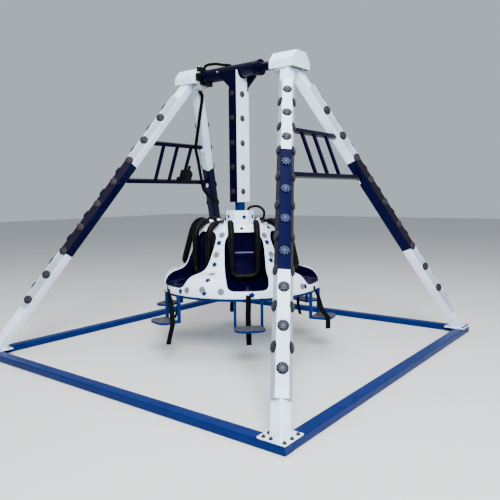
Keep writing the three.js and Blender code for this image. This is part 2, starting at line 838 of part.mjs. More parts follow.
// One restraint: a bar from one hinge down in front of the seat, round the foot and back up, padded below
// the bare arms, and tilted outwards about the hinges
function restraint(number) {
  const { out, across } = seatFrame(number);
  const { half, arm, collar, tube, sleeve, sleeveLength, pin, pivotR, pivotZ, sides, steps } = RESTRAINT;
  const tilt = THREE.MathUtils.degToRad(REST_TILT[number - 1]);
  const at = (r, a, z) => {
    const x = (r - pivotR) * Math.cos(tilt) - (z - pivotZ) * Math.sin(tilt);
    const y = (r - pivotR) * Math.sin(tilt) + (z - pivotZ) * Math.cos(tilt);
    return out.clone().multiplyScalar(pivotR + x).addScaledVector(across, a).setZ(pivotZ + y);
  };
  const down = BAR_ROUTE.map(([r, z]) => at(r, -half, z));
  const up = BAR_ROUTE.map(([r, z]) => at(r, half, z)).reverse();
  const [footR, footZ] = BAR_ROUTE[BAR_ROUTE.length - 1];
  const corner = BAR_FOOT.radius;
  const foot = [];
  for (const [turn, side] of [[30, -1], [60, -1], [90, -1], [90, 1], [60, 1], [30, 1]]) {
    const angle = THREE.MathUtils.degToRad(turn);
    const share = Math.sin(angle);
    const a = side * (half - corner * (1 - Math.cos(angle)));
    foot.push(at(footR + BAR_FOOT.reach * share, a, footZ - BAR_FOOT.drop * share));
  }
  let body = solid(tubeAlong([...down, ...foot, ...up], tube, steps, sides));
  for (const side of [-1, 1]) {
    const [a0, a1] = [side * half - sleeveLength / 2, side * half + sleeveLength / 2];
    const bare = ARM_ROUTE.map(([r, z]) => at(r, side * half, z));
    const taper = COLLAR_ROUTE.map(([r, z]) => at(r, side * half, z));
    body = body
      .add(solid(tubeAlong(bare, arm, 5, 8)))
      .add(solid(tubeAlong(taper, collar, 1, sides)))
      .add(seatRod(number, sleeve, a0, a1, pivotR, pivotZ, 16));
  }
  const pinRadius = (pin + BORE_CLEARANCE) / Math.cos(Math.PI / 12);
  return body.subtract(seatRod(number, pinRadius, -2 * half, 2 * half, pivotR, pivotZ, 12));
}

// Round hoop under the rim, to which the footrests are welded
function hoop() {
  const top = SHELL_BOTTOM - SEAT_GAP;
  const profile = [
    [HOOP.inner, top - HOOP.height],
    [HOOP.outer, top - HOOP.height],
    [HOOP.outer, top],
    [HOOP.inner, top],
    [HOOP.inner, top - HOOP.height],
  ];
  return solid(turned(profile, SHELL_SIDES));
}

// Footrest: two posts on the outside of the hoop, and a plate with cut corners that reaches outwards
function footrest(number) {
  const { half, post, postFrom, postTo, postTop, top, depth } = REST;
  const { out, across } = seatFrame(number);
  const plan = [...REST_PLAN, ...REST_PLAN.map(([r, a]) => [r, -a]).reverse()];
  const under = new THREE.Vector3(0, 0, top - depth);
  let body = solid(place(prism(plan, depth), out, across, Z, under));
  for (const side of [-1, 1]) {
    const width = [side * half - post / 2, side * half + post / 2];
    body = body.add(seatBox(number, [postFrom, postTo], width, [top - depth, postTop]));
  }
  const saddle = new THREE.CylinderGeometry(1, 1, 2 * FAR, SHELL_SIDES).rotateX(Math.PI / 2);
  const reach = HOOP.outer + SEAT_GAP;
  return body.subtract(solid(saddle.rotateZ(Math.PI / 2).scale(reach, reach, 1)));
}

// Flat belt from the rim: a band carried along its route, turning about its own line as it goes down
function belt(number) {
  const { route, twist } = BELT_LIES[number] || { route: BELT_HANGING, twist: 0 };
  const { out, across } = seatFrame(number);
  const points = route.map(([r, a, z]) => out.clone().multiplyScalar(r).addScaledVector(across, a).setZ(z));
  const path = new THREE.CatmullRomCurve3(points, false, "centripetal");
  const segments = twist === 0 ? BELT.segments : BELT.turnedSegments;
  const band = new THREE.BoxGeometry(2 * BELT.half, BELT.thickness, 1, 1, 1, segments);
  const position = band.attributes.position;
  for (let i = 0; i < position.count; i += 1) {
    const share = Math.min(Math.max(position.getZ(i) + 0.5, 0), 1);
    const turn = THREE.MathUtils.degToRad(twist * THREE.MathUtils.smoothstep(share, 0.06, 0.5));
    const run = path.getTangentAt(share);
    const width = across.clone().multiplyScalar(Math.cos(turn)).addScaledVector(out, Math.sin(turn));
    width.addScaledVector(run, -width.dot(run)).normalize();
    const face = new THREE.Vector3().crossVectors(run, width);
    const point = path.getPointAt(share).addScaledVector(width, position.getX(i));
    point.addScaledVector(face, position.getY(i));
    position.setXYZ(i, point.x, point.y, point.z);
  }
  return solid(band);
}

function gondola() {
  add("gondola_shell", shell(), "fibreglass");
  add("crown", crown(), "whitePaint");
  add("gondola_hoop", hoop(), "bluePaint");
  const bearing = THREE.MathUtils.degToRad(CROWN_CONDUIT.bearing);
  const route = CROWN_CONDUIT_ROUTE.map(
    ([r, z]) => new THREE.Vector3(r * Math.cos(bearing), r * Math.sin(bearing), z),
  );
  add("crown_conduit", solid(tubeAlong(route, CROWN_CONDUIT.radius, 24, 8)), "rubber");
  for (const number of seatNumbers) {
    add("seat_" + number, seatTub(number), "navyGloss");
    add("restraint_" + number, restraint(number), "padding");
    add("footrest_" + number, footrest(number), "bluePaint");
    add("belt_" + number, belt(number), "webbing");
  }
}

// Lamp on the lower rail of the left brace: a box with a sloped roof that leans against a rung
function braceLamp() {
  const { slope, inwards, low } = bracePlane(-1);
  const { from, to, low: under, high, depth, roof, handle } = LAMP;
  const back = BRACE.rung / 2 + SEAT_GAP;
  const outline = [
    [back, under],
    [back + depth, under],
    [back + depth, high - roof],
    [back + depth / 2, high],
    [back, high - roof / 2],
  ];
  const foot = [
    [-BRACE.rail / 2, BRACE.rail / 2 + SEAT_GAP],
    [back + depth / 2, BRACE.rail / 2 + SEAT_GAP],
    [back + depth / 2, under + 8],
    [-BRACE.rail / 2, under + 8],
  ];
  const along = new THREE.Vector3().crossVectors(inwards, slope);
  const origin = low.clone().addScaledVector(along, along.y > 0 ? from : -to);
  const bodyOf = (points) => solid(place(prism(points, to - from), inwards, slope, along, origin));
  const rung = BRACE.rungs[2];
  const clear = box([-FAR, FAR], [rung - BRACE.rung, rung + BRACE.rung], [BRACE.rails[0] - FAR, FAR]);
  const shoe = bodyOf(foot).subtract(solid(clear));
  const [handleLength, handleHeight, handleBar] = handle;
  const grip = new THREE.BoxGeometry(handleBar, handleHeight, handleLength);
  const gripMiddle = origin
    .clone()
    .addScaledVector(inwards, back + depth / 2)
    .addScaledVector(slope, high + handleHeight / 2 - handleBar)
    .addScaledVector(along, handleLength);
  const gripBody = solid(place(grip, inwards, slope, along, gripMiddle));
  return bodyOf(outline).add(shoe).add(gripBody);
}

function fittings() {
  const route = CABLE_ROUTE.map((point) => new THREE.Vector3(...point));
  add("power_cable", solid(tubeAlong(route, CABLE.radius, 30, 8)), "rubber");
  add("brace_lamp", braceLamp(), "rubber");
}

groundFrame();
legs();
heads();
swingingArm();
gondola();
fittings();

export default ride;
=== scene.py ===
"""Looks of a six-seat children's pendulum ride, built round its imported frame.

Metres. The origin is on the ground under the middle, +X runs along the cross tube to the right-hand
A-frame, +Y points away from the front beam and +Z is up. Each sub-assembly is a class that holds its
sizes and builds its own surfaces, and each finish is a small frozen class that builds its shader.
"""

import logging
import math
from collections.abc import Iterable
from dataclasses import dataclass, field
from enum import Enum
from typing import Any

import bmesh
import bpy
import numpy as np
from mathutils import Matrix, Vector


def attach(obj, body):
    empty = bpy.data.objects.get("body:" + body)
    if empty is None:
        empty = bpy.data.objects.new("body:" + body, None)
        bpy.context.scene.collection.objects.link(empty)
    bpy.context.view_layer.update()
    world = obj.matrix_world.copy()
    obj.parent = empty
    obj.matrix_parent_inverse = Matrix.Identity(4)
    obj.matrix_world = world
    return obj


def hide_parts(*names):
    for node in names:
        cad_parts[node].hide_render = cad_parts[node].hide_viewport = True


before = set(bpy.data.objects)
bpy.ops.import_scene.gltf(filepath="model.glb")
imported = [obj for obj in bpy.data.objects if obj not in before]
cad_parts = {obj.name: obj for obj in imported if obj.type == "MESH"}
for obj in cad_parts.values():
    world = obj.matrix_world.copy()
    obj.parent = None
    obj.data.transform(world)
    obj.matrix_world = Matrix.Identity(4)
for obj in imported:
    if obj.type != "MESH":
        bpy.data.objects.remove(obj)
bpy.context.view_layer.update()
LOG = logging.getLogger("ride")

Array = np.ndarray
Color = tuple[float, float, float]
OWN_MAP = "map"
WELD_REACH = 2e-5
SHARP = 35.0
# Columns side, up and along of a bar that runs along x
ALONG_X = np.array([[0, 0, 1], [1, 0, 0], [0, 1, 0]], float)


# Shader maths


class Sock:
    """A shader value that adds Math nodes when it is used in arithmetic."""

    def __init__(self, graph: "Graph", socket: bpy.types.NodeSocket) -> None:
        """Wraps an output socket of a graph."""
        self.graph = graph
        self.socket = socket

    def math(self, operation: str, *values: Any) -> "Sock":
        """The Math node of this value and the others, in order."""
        inputs = dict(enumerate((self, *values)))
        return self.graph.node("ShaderNodeMath", {"operation": operation}, inputs)

    def _reflected(self, operation: str, first: float) -> "Sock":
        """The Math node of a number and then this value."""
        return self.graph.node("ShaderNodeMath", {"operation": operation}, {0: first, 1: self})

    def __add__(self, other: Any) -> "Sock":
        """This value plus another."""
        return self.math("ADD", other)

    __radd__ = __add__

    def __sub__(self, other: Any) -> "Sock":
        """This value less another."""
        return self.math("SUBTRACT", other)

    def __rsub__(self, other: float) -> "Sock":
        """A number less this value."""
        return self._reflected("SUBTRACT", other)

    def __mul__(self, other: Any) -> "Sock":
        """This value times another."""
        return self.math("MULTIPLY", other)

    __rmul__ = __mul__

    def __truediv__(self, other: Any) -> "Sock":
        """This value over another."""
        return self.math("DIVIDE", other)

    def __abs__(self) -> "Sock":
        """The size of this value."""
        return self.math("ABSOLUTE")

    def step(self, low: float, high: float) -> "Sock":
        """A soft step from 0 at low to 1 at high, which may be the lower number."""
        if low > high:
            return 1 - self.step(high, low)
        settings = {"interpolation_type": "SMOOTHSTEP"}
        return self.graph.node("ShaderNodeMapRange", settings, {0: self, 1: low, 2: high})


class Graph:
    """The shader graph of one material: a Principled shader and what feeds it."""

    def __init__(self, name: str) -> None:
        """Makes an empty material of that name with its shader."""
        self.material = bpy.data.materials.new(name)
        self.material.use_nodes = True
        self.tree = self.material.node_tree
        self.tree.nodes.clear()
        self.shader = self.tree.nodes.new("ShaderNodeBsdfPrincipled")
        output = self.tree.nodes.new("ShaderNodeOutputMaterial")
        self.tree.links.new(self.shader.outputs[0], output.inputs[0])
        self.place = self.node("ShaderNodeTexCoord", output="Object")

    def node(self, kind: str, settings: dict | None = None, inputs: dict | None = None, output: Any = 0) -> Sock:
        """Adds a node.

        Args:
            kind: the node's type.
            settings: its attributes, which are set first.
            inputs: values or links by socket number or name.
            output: the number or name of the output that is wanted.

        Returns:
            The wanted output.
        """
        made = self.tree.nodes.new(kind)
        for key, value in (settings or {}).items():
            setattr(made, key, value)
        for key, value in (inputs or {}).items():
            self.feed(made.inputs[key], value)
        return Sock(self, made.outputs[output])

    def feed(self, socket: bpy.types.NodeSocket, value: Any) -> None:
        """Links or sets one input socket."""
        if isinstance(value, Sock):
            self.tree.links.new(value.socket, socket)
        elif isinstance(value, tuple) and len(value) == 3 and socket.type == "RGBA":
            socket.default_value = (*value, 1.0)
        else:
            socket.default_value = value

    def paint(self, **inputs: Any) -> None:
        """Sets the shader's own sockets, with underscores for spaces."""
        for key, value in inputs.items():
            self.feed(self.shader.inputs[key.replace("_", " ").title()], value)

    def axis(self, letter: str, where: Sock | None = None) -> Sock:
        """One coordinate of the surface point, or of another vector."""
        return self.node("ShaderNodeSeparateXYZ", inputs={0: where or self.place}, output=letter)

    def own_map(self) -> Sock:
        """The surface point's place on the piece's own map."""
        return self.node("ShaderNodeUVMap", {"uv_map": OWN_MAP})

    def mix(self, first: Any, second: Any, share: Any) -> Sock:
        """The colour between two colours."""
        return self.node("ShaderNodeMix", {"data_type": "RGBA"}, {0: share, 6: first, 7: second}, output=2)

    def tint(self, color: Any, by: Color) -> Sock:
        """A colour multiplied by another."""
        return self.node("ShaderNodeVectorMath", {"operation": "MULTIPLY"}, {0: color, 1: by})

    def stretched(self, scale: tuple[float, float, float]) -> Sock:
        """The surface point with each coordinate scaled."""
        return self.node("ShaderNodeMapping", inputs={"Vector": self.place, "Scale": scale})

    def noise(self, scale: float, detail: float, where: Sock | None = None) -> Sock:
        """Cloudy noise from 0 to 1, about 1/scale metres across."""
        inputs = {"Vector": where or self.place, "Scale": scale, "Detail": detail}
        return self.node("ShaderNodeTexNoise", inputs=inputs)

    def bump(self, height: Sock, distance: float) -> Sock:
        """The normal of a surface raised by height times distance."""
        return self.node("ShaderNodeBump", inputs={"Height": height, "Distance": distance, "Strength": 1.0})


# Finishes


@dataclass(frozen=True)
class Finish:
    """A finish: its name, colour and gloss. Subclasses add what the real surface shows."""

    name: str
    color: Color
    rough: float = 0.4
    metal: float = 0.0
    coat: float = 0.0
    specular: float = 0.5
    glint: Color = (1.0, 1.0, 1.0)
    coat_rough: float = 0.08

    def paint(self, g: Graph) -> None:
        """Builds the shader: a plain colour with a slight change of tone and gloss."""
        tone = g.noise(7, 4)
        g.paint(
            base_color=g.mix(self.color, tuple(c * 0.8 for c in self.color), tone.step(0.4, 0.7)),
            roughness=self.rough + 0.15 * g.noise(40, 3).step(0.35, 0.7),
            metallic=self.metal,
            normal=g.bump(g.noise(260, 3), 0.0003),
        )

    def material(self) -> bpy.types.Material:
        """The material of this finish, made once."""
        found = bpy.data.materials.get(self.name)
        if found is None:
            g = Graph(self.name)
            constants = {"Coat Weight": self.coat, "Coat Roughness": self.coat_rough,
                         "Specular IOR Level": self.specular, "Specular Tint": self.glint}
            for name, value in constants.items():
                g.feed(g.shader.inputs[name], value)
            self.paint(g)
            found = g.material
        return found


@dataclass(frozen=True)
class Enamel(Finish):
    """Enamel on steel: broad changes of tone, dried runs, grime low down and chips to the metal."""

    chips: float = 0.5
    grime: float = 0.5
    bare: Color = (0.16, 0.12, 0.10)
    dirt: Color = (0.27, 0.22, 0.18)

    def ground(self, g: Graph) -> Any:
        """The paint's colour before wear."""
        return self.color

    def paint(self, g: Graph) -> None:
        """Builds the shader."""
        tone = g.noise(3.1, 4).step(0.3, 0.75)
        ground = self.ground(g)
        color = g.mix(ground, g.tint(ground, (0.80, 0.79, 0.82)), tone)
        runs = g.noise(34, 4, g.stretched((1, 1, 0.07))).step(0.56, 0.78)
        dust = g.noise(11, 6).step(0.52, 0.8)
        low = g.axis("Z").step(0.55, 0.02)
        dirt = (runs * 0.35 + dust * 0.4 + low * dust * 0.9) * self.grime
        color = g.mix(color, g.tint(color, self.dirt), dirt.math("MINIMUM", 0.8))
        chip = g.noise(75, 3).step(0.69, 0.715) * g.noise(5, 2).step(0.62 - 0.2 * self.chips, 0.75)
        color = g.mix(color, self.bare, chip)
        height = g.noise(420, 2) * 0.25 + g.noise(28, 2) * 0.6 - chip * 1.2
        g.paint(
            base_color=color,
            roughness=self.rough + dirt * 0.35 + chip * 0.3,
            metallic=self.metal,
            normal=g.bump(height, 0.0006),
        )


@dataclass(frozen=True)
class BandedEnamel(Enamel):
    """The legs' enamel: white with one navy length, cut off square to the leg, with painted shade on the flanges."""

    band: Color = (0.0014, 0.0016, 0.019)
    # Painted shade: the flanges' colours, a brownish grey for the navy length and a greyer lilac for the white
    navy_flank_shade: Color = (0.0115, 0.0085, 0.0125)
    white_flank_shade: Color = (0.37, 0.39, 0.46)
    low: float = 0.965
    high: float = 1.857
    slope: tuple[float, float] = (0.399, 0.638)
    foot: tuple[float, float, float] = (1.662, 1.728, 0.07)
    edge: float = 0.0025
    crease: tuple[float, float] = (0.0445, 0.0475)

    def ground(self, g: Graph) -> Any:
        """Navy between two distances along the leg, white elsewhere, each darker on the flanges as painted shade.

        The distance is z less the slopes times the sizes of x and y, which is even along the square
        section of all four legs at once.
        """
        sx, sy = self.slope
        x, y, z = self.foot
        run = g.axis("Z") - abs(g.axis("X")) * sx - abs(g.axis("Y")) * sy
        scale = 1 + sx * sx + sy * sy
        start = -(sx * x + sy * y + (sx * sx + sy * sy) * z)
        low = start + scale * self.low
        high = start + scale * self.high
        inside = run.step(low - self.edge, low + self.edge) * run.step(high + self.edge, high - self.edge)
        # The flanges, past the crease on the cover's own map, take the painted shade colours
        across = abs(g.axis("X", g.own_map()))
        folded = across.step(*self.crease)
        pale = g.mix(self.color, self.white_flank_shade, folded)
        return g.mix(pale, g.mix(self.band, self.navy_flank_shade, folded), inside)


@dataclass(frozen=True)
class EdgedEnamel(Enamel):
    """White enamel on a plate whose long edges carry the navy of the beam behind it."""

    edge: Color = (0.0012, 0.0008, 0.010)
    width: tuple[float, float] = (0.1002, 0.1012)

    def ground(self, g: Graph) -> Any:
        """White within the plate's width, navy on its edges."""
        return g.mix(self.color, self.edge, abs(g.axis("Y")).step(*self.width))


@dataclass(frozen=True)
class Gelcoat(Finish):
    """Glossy moulded gelcoat with fine scratches, a faint ripple and grime along its low edges.

    With dull above nought, the foot of the seats' backs is rougher and has no clear coat.
    """

    scratches: float = 0.4
    dull: float = 0.0
    stain: Color = (0.45, 0.42, 0.40)
    ripple: float = 0.7

    def paint(self, g: Graph) -> None:
        """Builds the shader."""
        scuff = g.noise(120, 2, g.stretched((0.25, 1, 0.12))).step(0.66, 0.74) * g.noise(6, 3).step(0.45, 0.65)
        haze = g.noise(4, 4).step(0.4, 0.75)
        low = g.axis("Z").step(0.66, 0.61) * g.noise(16, 4).step(0.4, 0.7)
        color = g.mix(self.color, self.stain, haze * 0.05 + low * 0.25 + scuff * self.scratches * 0.25)
        x, y, z = (g.axis(letter) for letter in "XYZ")
        foot = (x * x + y * y).step(0.25, 0.19) * z.step(0.90, 0.82) * self.dull
        g.paint(
            base_color=color,
            roughness=self.rough + haze * 0.08 + scuff * 0.25 * self.scratches + foot * 0.5,
            coat_weight=self.coat * (1 - foot),
            normal=g.bump(g.noise(6, 2) * self.ripple + g.noise(90, 2) * 0.05 - scuff * 0.05, 0.0008),
        )


@dataclass(frozen=True)
class Foam(Finish):
    """Black skinned foam: fine pores, soft wrinkles and rubbed, greyer patches."""

    def paint(self, g: Graph) -> None:
        """Builds the shader."""
        rubbed = g.noise(13, 5).step(0.5, 0.75)
        creases = g.noise(60, 3, g.stretched((1, 1, 2.4))).step(0.35, 0.6)
        g.paint(
            base_color=g.mix(self.color, (0.004, 0.004, 0.0045), rubbed * 0.8),
            roughness=self.rough + rubbed * 0.12,
            normal=g.bump(g.noise(700, 2) * 0.3 + creases * 0.8, 0.0007),
        )


@dataclass(frozen=True)
class Webbing(Finish):
    """Woven belt: ribs across and a twill along, read from the strap's own map in metres."""

    pitch: float = 0.0032

    def paint(self, g: Graph) -> None:
        """Builds the shader: the weave is the product of two waves along the map's axes."""
        uv = g.own_map()
        u, v = g.axis("X", uv), g.axis("Y", uv)
        turn = 2 * math.pi / self.pitch
        ribs = (v * turn).math("SINE") * 0.5 + 0.5
        twill = ((u + v * 0.5) * (turn * 0.7)).math("SINE") * 0.5 + 0.5
        weave = ribs * 0.6 + twill * 0.4
        edge = abs(u).step(0.0215, 0.0235)
        g.paint(
            base_color=g.mix(self.color, tuple(1.8 * c for c in self.color), weave * 0.6 + edge * 0.2),
            roughness=self.rough - weave * 0.1,
            normal=g.bump(weave, 0.0006),
        )


@dataclass(frozen=True)
class Tread(Finish):
    """Scuffed tread plate: short raised bars in turn along two diagonals."""

    pitch: float = 0.024

    def paint(self, g: Graph) -> None:
        """Builds the shader.

        Each bar is an ellipse in a checkerboard of cells. Its height is 1 less the weighted squares
        of the distances along and across the bar.
        """
        uv = g.own_map()
        u, v = g.axis("X", uv) / self.pitch, g.axis("Y", uv) / self.pitch
        bars = None
        for along, across, shift in ((u, v, 0.0), (v, u, 0.5)):
            p = (along + shift).math("FRACT") - 0.5
            q = (across + shift).math("FRACT") - 0.5
            bar = (1 - p * p * 7 - q * q * 60).step(0.0, 0.35)
            bars = bar if bars is None else bars.math("MAXIMUM", bar)
        dirt = g.noise(26, 5).step(0.4, 0.7)
        color = g.mix(self.color, (0.014, 0.013, 0.014), dirt * (1 - bars * 0.7) * 0.8)
        g.paint(
            base_color=g.mix(color, (0.16, 0.16, 0.18), bars * 0.35),
            roughness=self.rough + dirt * 0.2 - bars * 0.1,
            metallic=self.metal,
            normal=g.bump(bars + g.noise(300, 2) * 0.1, 0.0016),
        )


@dataclass(frozen=True)
class Pinwheel(Finish):
    """A round ornament with curved blades, read from its own map of the unit circle."""

    blade: Color = (0.55, 0.58, 0.62)
    blades: int = 10
    twist: float = 1.35
    reach: tuple[float, float] = (0.16, 0.9)
    rim: Color | None = None
    gap: float = -0.15

    def paint(self, g: Graph) -> None:
        """Builds the shader.

        The blades are where the sine of the number of blades times the angle, plus a twist that grows
        with the radius, is above a level.
        """
        uv = g.own_map()
        u, v = g.axis("X", uv), g.axis("Y", uv)
        radius = (u * u + v * v).math("SQRT")
        wave = ((v.math("ARCTAN2", u) + radius * self.twist) * self.blades).math("SINE")
        inner, outer = self.reach
        blades = wave.step(self.gap - 0.2, self.gap + 0.2) * radius.step(outer + 0.03, outer - 0.03)
        blades = blades.math("MAXIMUM", radius.step(inner + 0.06, inner - 0.06))
        worn = g.noise(90, 4).step(0.35, 0.75)
        color = g.mix(self.color, self.blade, blades * (1 - worn * 0.25))
        if self.rim is not None:
            color = g.mix(color, self.rim, radius.step(0.92, 0.96))
        g.paint(
            base_color=color,
            roughness=self.rough + worn * 0.1,
            normal=g.bump(blades * 0.6 + g.noise(200, 2) * 0.1, 0.0006),
        )


ALL_WHITE = (0.70, 0.82, 0.93)
BLUISH = (0.2, 0.3, 1.0)
WHITE = Enamel("white_enamel", ALL_WHITE, 0.32, chips=0.25, grime=0.30)
PLATE_WHITE = EdgedEnamel("edged_white_enamel", ALL_WHITE, 0.32, chips=0.25, grime=0.30)
BANDED = BandedEnamel("banded_leg_enamel", ALL_WHITE, 0.30, specular=0.10, glint=BLUISH, chips=0.3, grime=0.30)
BLUE = Enamel("blue_enamel", (0.0012, 0.011, 0.092), 0.38, specular=0.12, glint=(0.2, 0.5, 1.0), chips=0.6, grime=0.25,
              bare=(0.05, 0.045, 0.045))
NAVY = Enamel("navy_enamel", (0.0008, 0.0005, 0.0075), 0.30, specular=0.09, glint=BLUISH, chips=0.2, grime=0.2,
              bare=(0.02, 0.02, 0.02))
NECK_BLUE = Enamel("bright_blue_enamel", (0.0010, 0.009, 0.080), 0.3, specular=0.12, glint=(0.2, 0.5, 1.0), chips=0.1,
                   grime=0.1)
GREY = Enamel("grey_enamel", (0.40, 0.43, 0.48), 0.42, chips=0.6, grime=0.8)
SHELL_WHITE = Gelcoat("shell_gelcoat", (0.72, 0.82, 0.95), 0.14, coat=0.5)
SEAT_NAVY = Gelcoat("navy_gelcoat", (0.0007, 0.0002, 0.0100), 0.14, coat=0.07, specular=0.1, glint=(0.35, 0.2, 1.0),
                    stain=(0.004, 0.003, 0.012), ripple=0.25, dull=1.0)
FOAM = Foam("skinned_foam", (0.0014, 0.0014, 0.0016), 0.36, specular=0.06)
RUBBER = Finish("cable_rubber", (0.0015, 0.0015, 0.0018), 0.5, specular=0.05)
PLASTIC = Finish("black_plastic", (0.0025, 0.0025, 0.003), 0.34, specular=0.08)
ZINC = Finish("zinc_plate", (0.55, 0.56, 0.58), 0.32, metal=0.9)
DULL_BOLT = Finish("dull_bolt_steel", (0.025, 0.025, 0.032), 0.4, metal=0.5, specular=0.2)
STRAP = Webbing("woven_strap", (0.0012, 0.0011, 0.0014), 0.7, specular=0.04)
TREAD = Tread("tread_plate", (0.046, 0.045, 0.056), 0.5, specular=0.15)
STAR = Finish("blue_star_vinyl", (0.001, 0.005, 0.065), 0.35, specular=0.12, glint=BLUISH)
DARK_DISC = Pinwheel("dark_ornament", (0.002, 0.0022, 0.005), 0.28, specular=0.1, blade=(0.095, 0.108, 0.135), blades=9,
                     gap=0.62)
NAVY_DISC = Pinwheel("navy_ornament", (0.0014, 0.0016, 0.019), 0.28, specular=0.1, glint=BLUISH,
                     blade=(0.12, 0.15, 0.205), blades=9, gap=0.70)
# Painted shade: the dark ornament made darker for the discs on the shaded flanges
SHADED_FLANGE_DISC = Pinwheel("shaded_flange_ornament", (0.003, 0.0025, 0.005), 0.35, specular=0.08, blade=(0.050, 0.045, 0.060),
                     blades=10, gap=0.2)
DIM_DISC = Pinwheel("dim_ornament", (0.0015, 0.0013, 0.004), 0.35, specular=0.06, blade=(0.022, 0.020, 0.032),
                    blades=10, gap=0.2)
SWIRL = Pinwheel("grey_swirl_vinyl", (0.28, 0.31, 0.36), 0.3, specular=0.2, blade=(0.010, 0.010, 0.016), twist=2.4,
                 blades=6, rim=(0.02, 0.02, 0.03), gap=-0.3)


# Surfaces


@dataclass
class Surface:
    """Points and faces on the way to a mesh, with an optional map of two numbers for each point."""

    points: Array
    faces: list[Array]
    uv: Array | None = None

    def __add__(self, other: "Surface") -> "Surface":
        """Both surfaces as one."""
        shift = len(self.points)
        uv = None
        if self.uv is not None and other.uv is not None:
            uv = np.concatenate([self.uv, other.uv])
        faces = self.faces + [block + shift for block in other.faces]
        return Surface(np.concatenate([self.points, other.points]), faces, uv)

    def placed(self, basis: Array, origin: Array) -> "Surface":
        """The surface with its axes turned to the columns of a basis and its origin moved."""
        return Surface(self.points @ np.asarray(basis, float).T + np.asarray(origin, float), self.faces, self.uv)

    def scattered(self, bases: Array, origins: Array) -> "Surface":
        """Copies of the surface, one for each basis and origin."""
        points = np.einsum("mij,nj->mni", bases, self.points) + origins[:, None, :]
        shifts = np.arange(len(origins)) * len(self.points)
        faces = [(block[None] + shifts[:, None, None]).reshape(-1, block.shape[1]) for block in self.faces]
        uv = None if self.uv is None else np.tile(self.uv, (len(origins), 1))
        return Surface(points.reshape(-1, 3), faces, uv)

    def turned(self, degrees: float) -> "Surface":
        """The surface turned about the upright axis."""
        return self.placed(turn_about_z(degrees), np.zeros(3))

    def mirrored(self, axis: int) -> "Surface":
        """The mirror image across the plane where one coordinate is nought, facing the same side."""
        points = self.points.copy()
        points[:, axis] *= -1
        return Surface(points, [block[:, ::-1] for block in self.faces], self.uv)


def swept(profile: Any, angle: Array) -> Array:
    """Points of a profile of radius and height at each angle about the upright axis, (rows, angles, 3)."""
    line = np.asarray(profile, float)
    radius, height = line[:, :1], np.broadcast_to(line[:, 1:2], (len(line), len(angle)))
    return np.stack([radius * np.cos(angle), radius * np.sin(angle), height], -1)


def joined(parts: Iterable[Surface]) -> Surface:
    """Several surfaces as one, in their order."""
    first, *others = parts
    return sum(others, first)


def turn_about_z(degrees: float) -> Array:
    """The rotation matrix about the upright axis."""
    c, s = math.cos(math.radians(degrees)), math.sin(math.radians(degrees))
    return np.array([[c, -s, 0], [s, c, 0], [0, 0, 1.0]])


def unit(vectors: Array) -> Array:
    """Vectors scaled to length one."""
    return vectors / np.maximum(np.linalg.norm(vectors, axis=-1, keepdims=True), 1e-12)


def smooth(value: Any, low: float, high: float) -> Array:
    """A soft step from 0 at low to 1 at high."""
    t = np.clip((value - low) / (high - low), 0, 1)
    return t * t * (3 - 2 * t)


def grid(points: Array, wrap: bool = False, uv: Array | None = None) -> Surface:
    """Quads between neighbouring points of a (rows, columns, 3) array.

    Args:
        points: the surface's points by row and column.
        wrap: joins the last column to the first.
        uv: two numbers for each point, by row and column.

    Returns:
        The surface, facing the side from which the columns run to the right and the rows up.
    """
    rows, cols = points.shape[:2]
    number = np.arange(rows * cols).reshape(rows, cols)
    right = np.roll(number, -1, axis=1)
    last = cols if wrap else cols - 1
    corners = [number[:-1, :last], right[:-1, :last], right[1:, :last], number[1:, :last]]
    quads = np.stack(corners, -1).reshape(-1, 4)
    return Surface(points.reshape(-1, 3), [quads], None if uv is None else uv.reshape(-1, 2))


def capped(points: Array, uv: Array | None = None) -> Surface:
    """A tube through closed rows of points, with a face over its first and its last row."""
    made = grid(points, wrap=True, uv=uv)
    rows, cols = points.shape[:2]
    ring = np.arange(cols)[None]
    made.faces += [ring[:, ::-1], (rows - 1) * cols + ring]
    return made


def spline(knots: Any, count: int) -> Array:
    """A smooth curve through the knots, in even steps of its length.

    Between two knots the curve is the cubic whose slopes at both ends are half the chord between the
    knots on either side.

    Args:
        knots: points of two or three numbers, and any further numbers that go along.
        count: how many points to return.

    Returns:
        The points, (count, numbers).
    """
    k = np.asarray(knots, float)
    k = np.concatenate([[2 * k[0] - k[1]], k, [2 * k[-1] - k[-2]]])
    p0, p1, p2, p3 = (k[i : len(k) - 3 + i, None, :] for i in range(4))
    t = np.linspace(0, 1, 48, endpoint=False)[None, :, None]
    dense = 0.5 * (2 * p1 + (p2 - p0) * t + (2 * p0 - 5 * p1 + 4 * p2 - p3) * t**2 + (3 * p1 - p0 - 3 * p2 + p3) * t**3)
    dense = np.concatenate([dense.reshape(-1, k.shape[1]), k[-2:-1]])
    run = travelled(dense[:, :3])
    at = np.linspace(0, run[-1], count)
    return np.stack([np.interp(at, run, column) for column in dense.T], -1)


def travelled(points: Array) -> Array:
    """The length of a line up to each of its points."""
    steps = np.linalg.norm(np.diff(points, axis=0), axis=-1)
    return np.concatenate([[0.0], np.cumsum(steps)])


def curved(start: Array, corner: Array, end: Array, share: Array) -> Array:
    """Points on quadratic curves from starts to ends that leave both towards their corners, one row each."""
    a, c, b, t = start[:, None], corner[:, None], end[:, None], share[None, :, None]
    return (1 - t) ** 2 * a + 2 * t * (1 - t) * c + t**2 * b


def circle(radius: float, sides: int) -> Array:
    """A circle's outline, anticlockwise."""
    angle = np.linspace(0, 2 * math.pi, sides, endpoint=False)
    return radius * np.stack([np.cos(angle), np.sin(angle)], -1)


